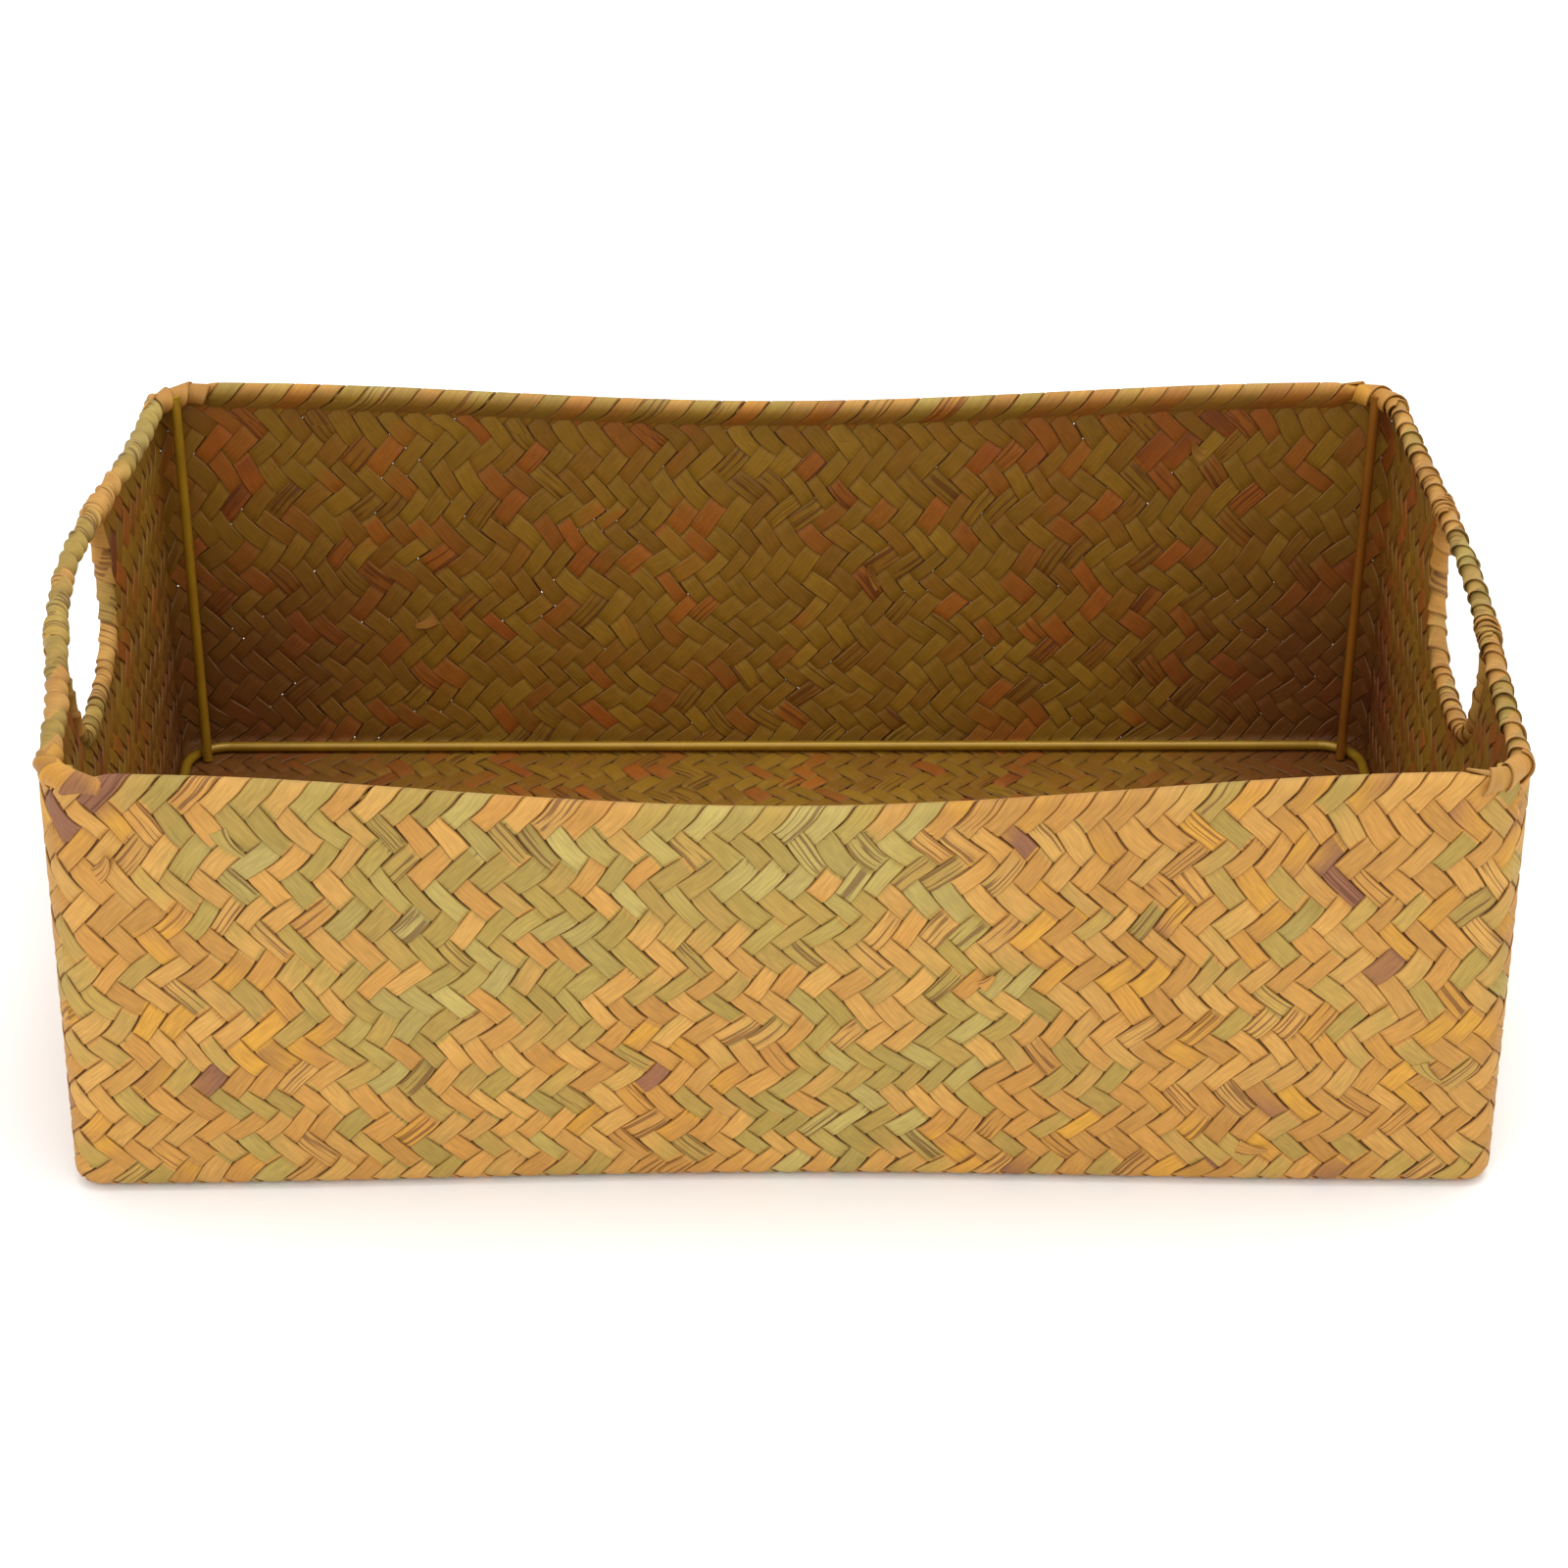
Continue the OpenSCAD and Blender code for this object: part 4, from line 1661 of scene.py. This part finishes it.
    def build_lashing(self, side: Side, corner: str, seed: int) -> None:
        """Winds the corner between a wall and the next.

        Args:
            side: The wall.
            corner: The corner's name.
            seed: Picks the winding's small faults.
        """
        form = self.shop.form
        after = Side((side.value + 1) % 4)
        first = form.rim_line(side, 1 - form.corner_run(side), 1, 16, self.lashing_inward)
        second = form.rim_line(after, 0, form.corner_run(after), 16, self.lashing_inward)
        route = Route(np.concatenate([first, second[1:]]), Vector((0, 0, 1)))
        node = f"lashing_{corner}"
        hand_over(gather(node, [self.wind(route, self.lashing, seed)]), node)

    def build(self) -> None:
        """Winds the grips, the edges of the hand openings and the corners."""
        for number, (side, end) in enumerate(((Side.LEFT, "left"), (Side.RIGHT, "right"))):
            self.build_grip(side, end, self.grip_seed + number)
            self.build_edging(side, end, self.edging_seed + number)
        corners = (
            (Side.LEFT, "front_left"), (Side.FRONT, "front_right"),
            (Side.RIGHT, "back_right"), (Side.BACK, "back_left"),
        )
        for number, (side, corner) in enumerate(corners):
            self.build_lashing(side, corner, self.lashing_seed + number)


@dataclass
class WireFrame:
    """The welded frame: wires under lacquer, one of its posts tarnished."""

    shop: Workshop
    tarnished: str = "post_back_right"

    def build(self) -> None:
        """Dresses the frame's CAD nodes."""
        for name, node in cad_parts.items():
            if name == self.tarnished:
                self.dress(node, self.shop.tarnished_wire)
            elif name.startswith("post_") or name in ("base_ring", "rim_ring"):
                self.dress(node, self.shop.wire)
            elif name.endswith("_core"):
                self.dress(node, self.shop.rush)

    @staticmethod
    def dress(node: bpy.types.Object, material: bpy.types.Material) -> None:
        """Gives a CAD node its finish.

        Args:
            node: The node.
            material: The finish.
        """
        node.data.materials.clear()
        node.data.materials.append(material)
        LOG.info("%s: %s", node.name, material.name)


# ---- the studio -----------------------------------------------------------


@dataclass
class Studio:
    """A pale table, soft light and the camera."""

    camera_at: tuple[float, float, float] = (-15.0 * MM, -1008.6 * MM, 644.8 * MM)
    yaw: float = math.radians(-0.92)
    pitch: float = math.radians(30.21)
    roll: float = math.radians(0.37)
    lens: float = 90.0
    table_half: float = 6.0
    # Name, place, size in metres and power in watts
    lamps: tuple[tuple[str, tuple[float, float, float], float, float], ...] = (
        ("key", (-0.4, -1.7, 1.1), 1.4, 9.0),
        ("top", (0.2, 0.1, 1.9), 1.2, 15.0),
    )

    def build(self) -> None:
        """Builds the studio round the basket."""
        self.place_camera()
        self.lay_floor()
        self.light()

    def place_camera(self) -> None:
        """Sets the camera in front of the basket, looking down into it."""
        data = bpy.data.cameras.new("camera")
        data.lens = self.lens
        data.sensor_width = 36.0
        data.clip_end = 20.0
        camera = bpy.data.objects.new("camera", data)
        forward = Vector((
            -math.sin(self.yaw) * math.cos(self.pitch),
            math.cos(self.yaw) * math.cos(self.pitch),
            -math.sin(self.pitch),
        ))
        level = Vector((math.cos(self.yaw), math.sin(self.yaw), 0))
        above = level.cross(forward)
        right = math.cos(self.roll) * level + math.sin(self.roll) * above
        above = -math.sin(self.roll) * level + math.cos(self.roll) * above
        axes = Matrix((right, above, -forward)).transposed().to_4x4()
        camera.matrix_world = Matrix.Translation(self.camera_at) @ axes
        bpy.context.scene.collection.objects.link(camera)
        bpy.context.scene.camera = camera

    def lay_floor(self) -> None:
        """Lays a plain white table."""
        half = self.table_half
        corners = [(-half, -half, 0), (half, -half, 0), (half, half, 0), (-half, half, 0)]
        mesh = bpy.data.meshes.new("table")
        mesh.from_pydata(corners, [], [(0, 1, 2, 3)])
        floor = bpy.data.objects.new("table", mesh)
        material = bpy.data.materials.new("white card")
        material.use_nodes = True
        shader = material.node_tree.nodes["Principled BSDF"]
        shader.inputs["Base Color"].default_value = linear("#ffffff")
        shader.inputs["Roughness"].default_value = 0.9
        mesh.materials.append(material)
        bpy.context.scene.collection.objects.link(floor)

    def light(self) -> None:
        """Lights the basket softly from in front and above."""
        scene = bpy.context.scene
        scene.view_settings.view_transform = "Standard"
        world = bpy.data.worlds.new("studio")
        world.use_nodes = True
        backdrop = world.node_tree.nodes["Background"]
        backdrop.inputs["Color"].default_value = (1, 1, 1, 1)
        backdrop.inputs["Strength"].default_value = 1.0
        scene.world = world
        for name, place, size, power in self.lamps:
            data = bpy.data.lights.new(name, "AREA")
            data.size = size
            data.energy = power
            lamp = bpy.data.objects.new(name, data)
            lamp.location = place
            lamp.rotation_euler = (-Vector(place)).to_track_quat("-Z", "Y").to_euler()
            scene.collection.objects.link(lamp)


def main() -> None:
    """Builds the basket and the studio."""
    logging.basicConfig(level=logging.INFO, format="%(name)s: %(message)s", stream=sys.stdout)
    tarnished = LacqueredWire("tarnished steel wire", "#b0781c", "#7a3e10", mottle=26 * MM)
    shop = Workshop(
        form=ShellForm(), gauge=StrandGauge(), plait=plait_tree(), winding=winding_tree(),
        rush=DriedRush().build(), wire=LacqueredWire().build(),
        tarnished_wire=tarnished.build(),
    )
    Studio().build()
    shell = PlaitedShell(shop)
    shell.build()
    rim = FoldedRim(shop, shell)
    rim.build(Side.FRONT, "front_rim_fold")
    rim.build(Side.BACK, "back_rim_fold")
    Winder(shop).build()
    WireFrame(shop).build()


if __name__ == "__main__":
    main()
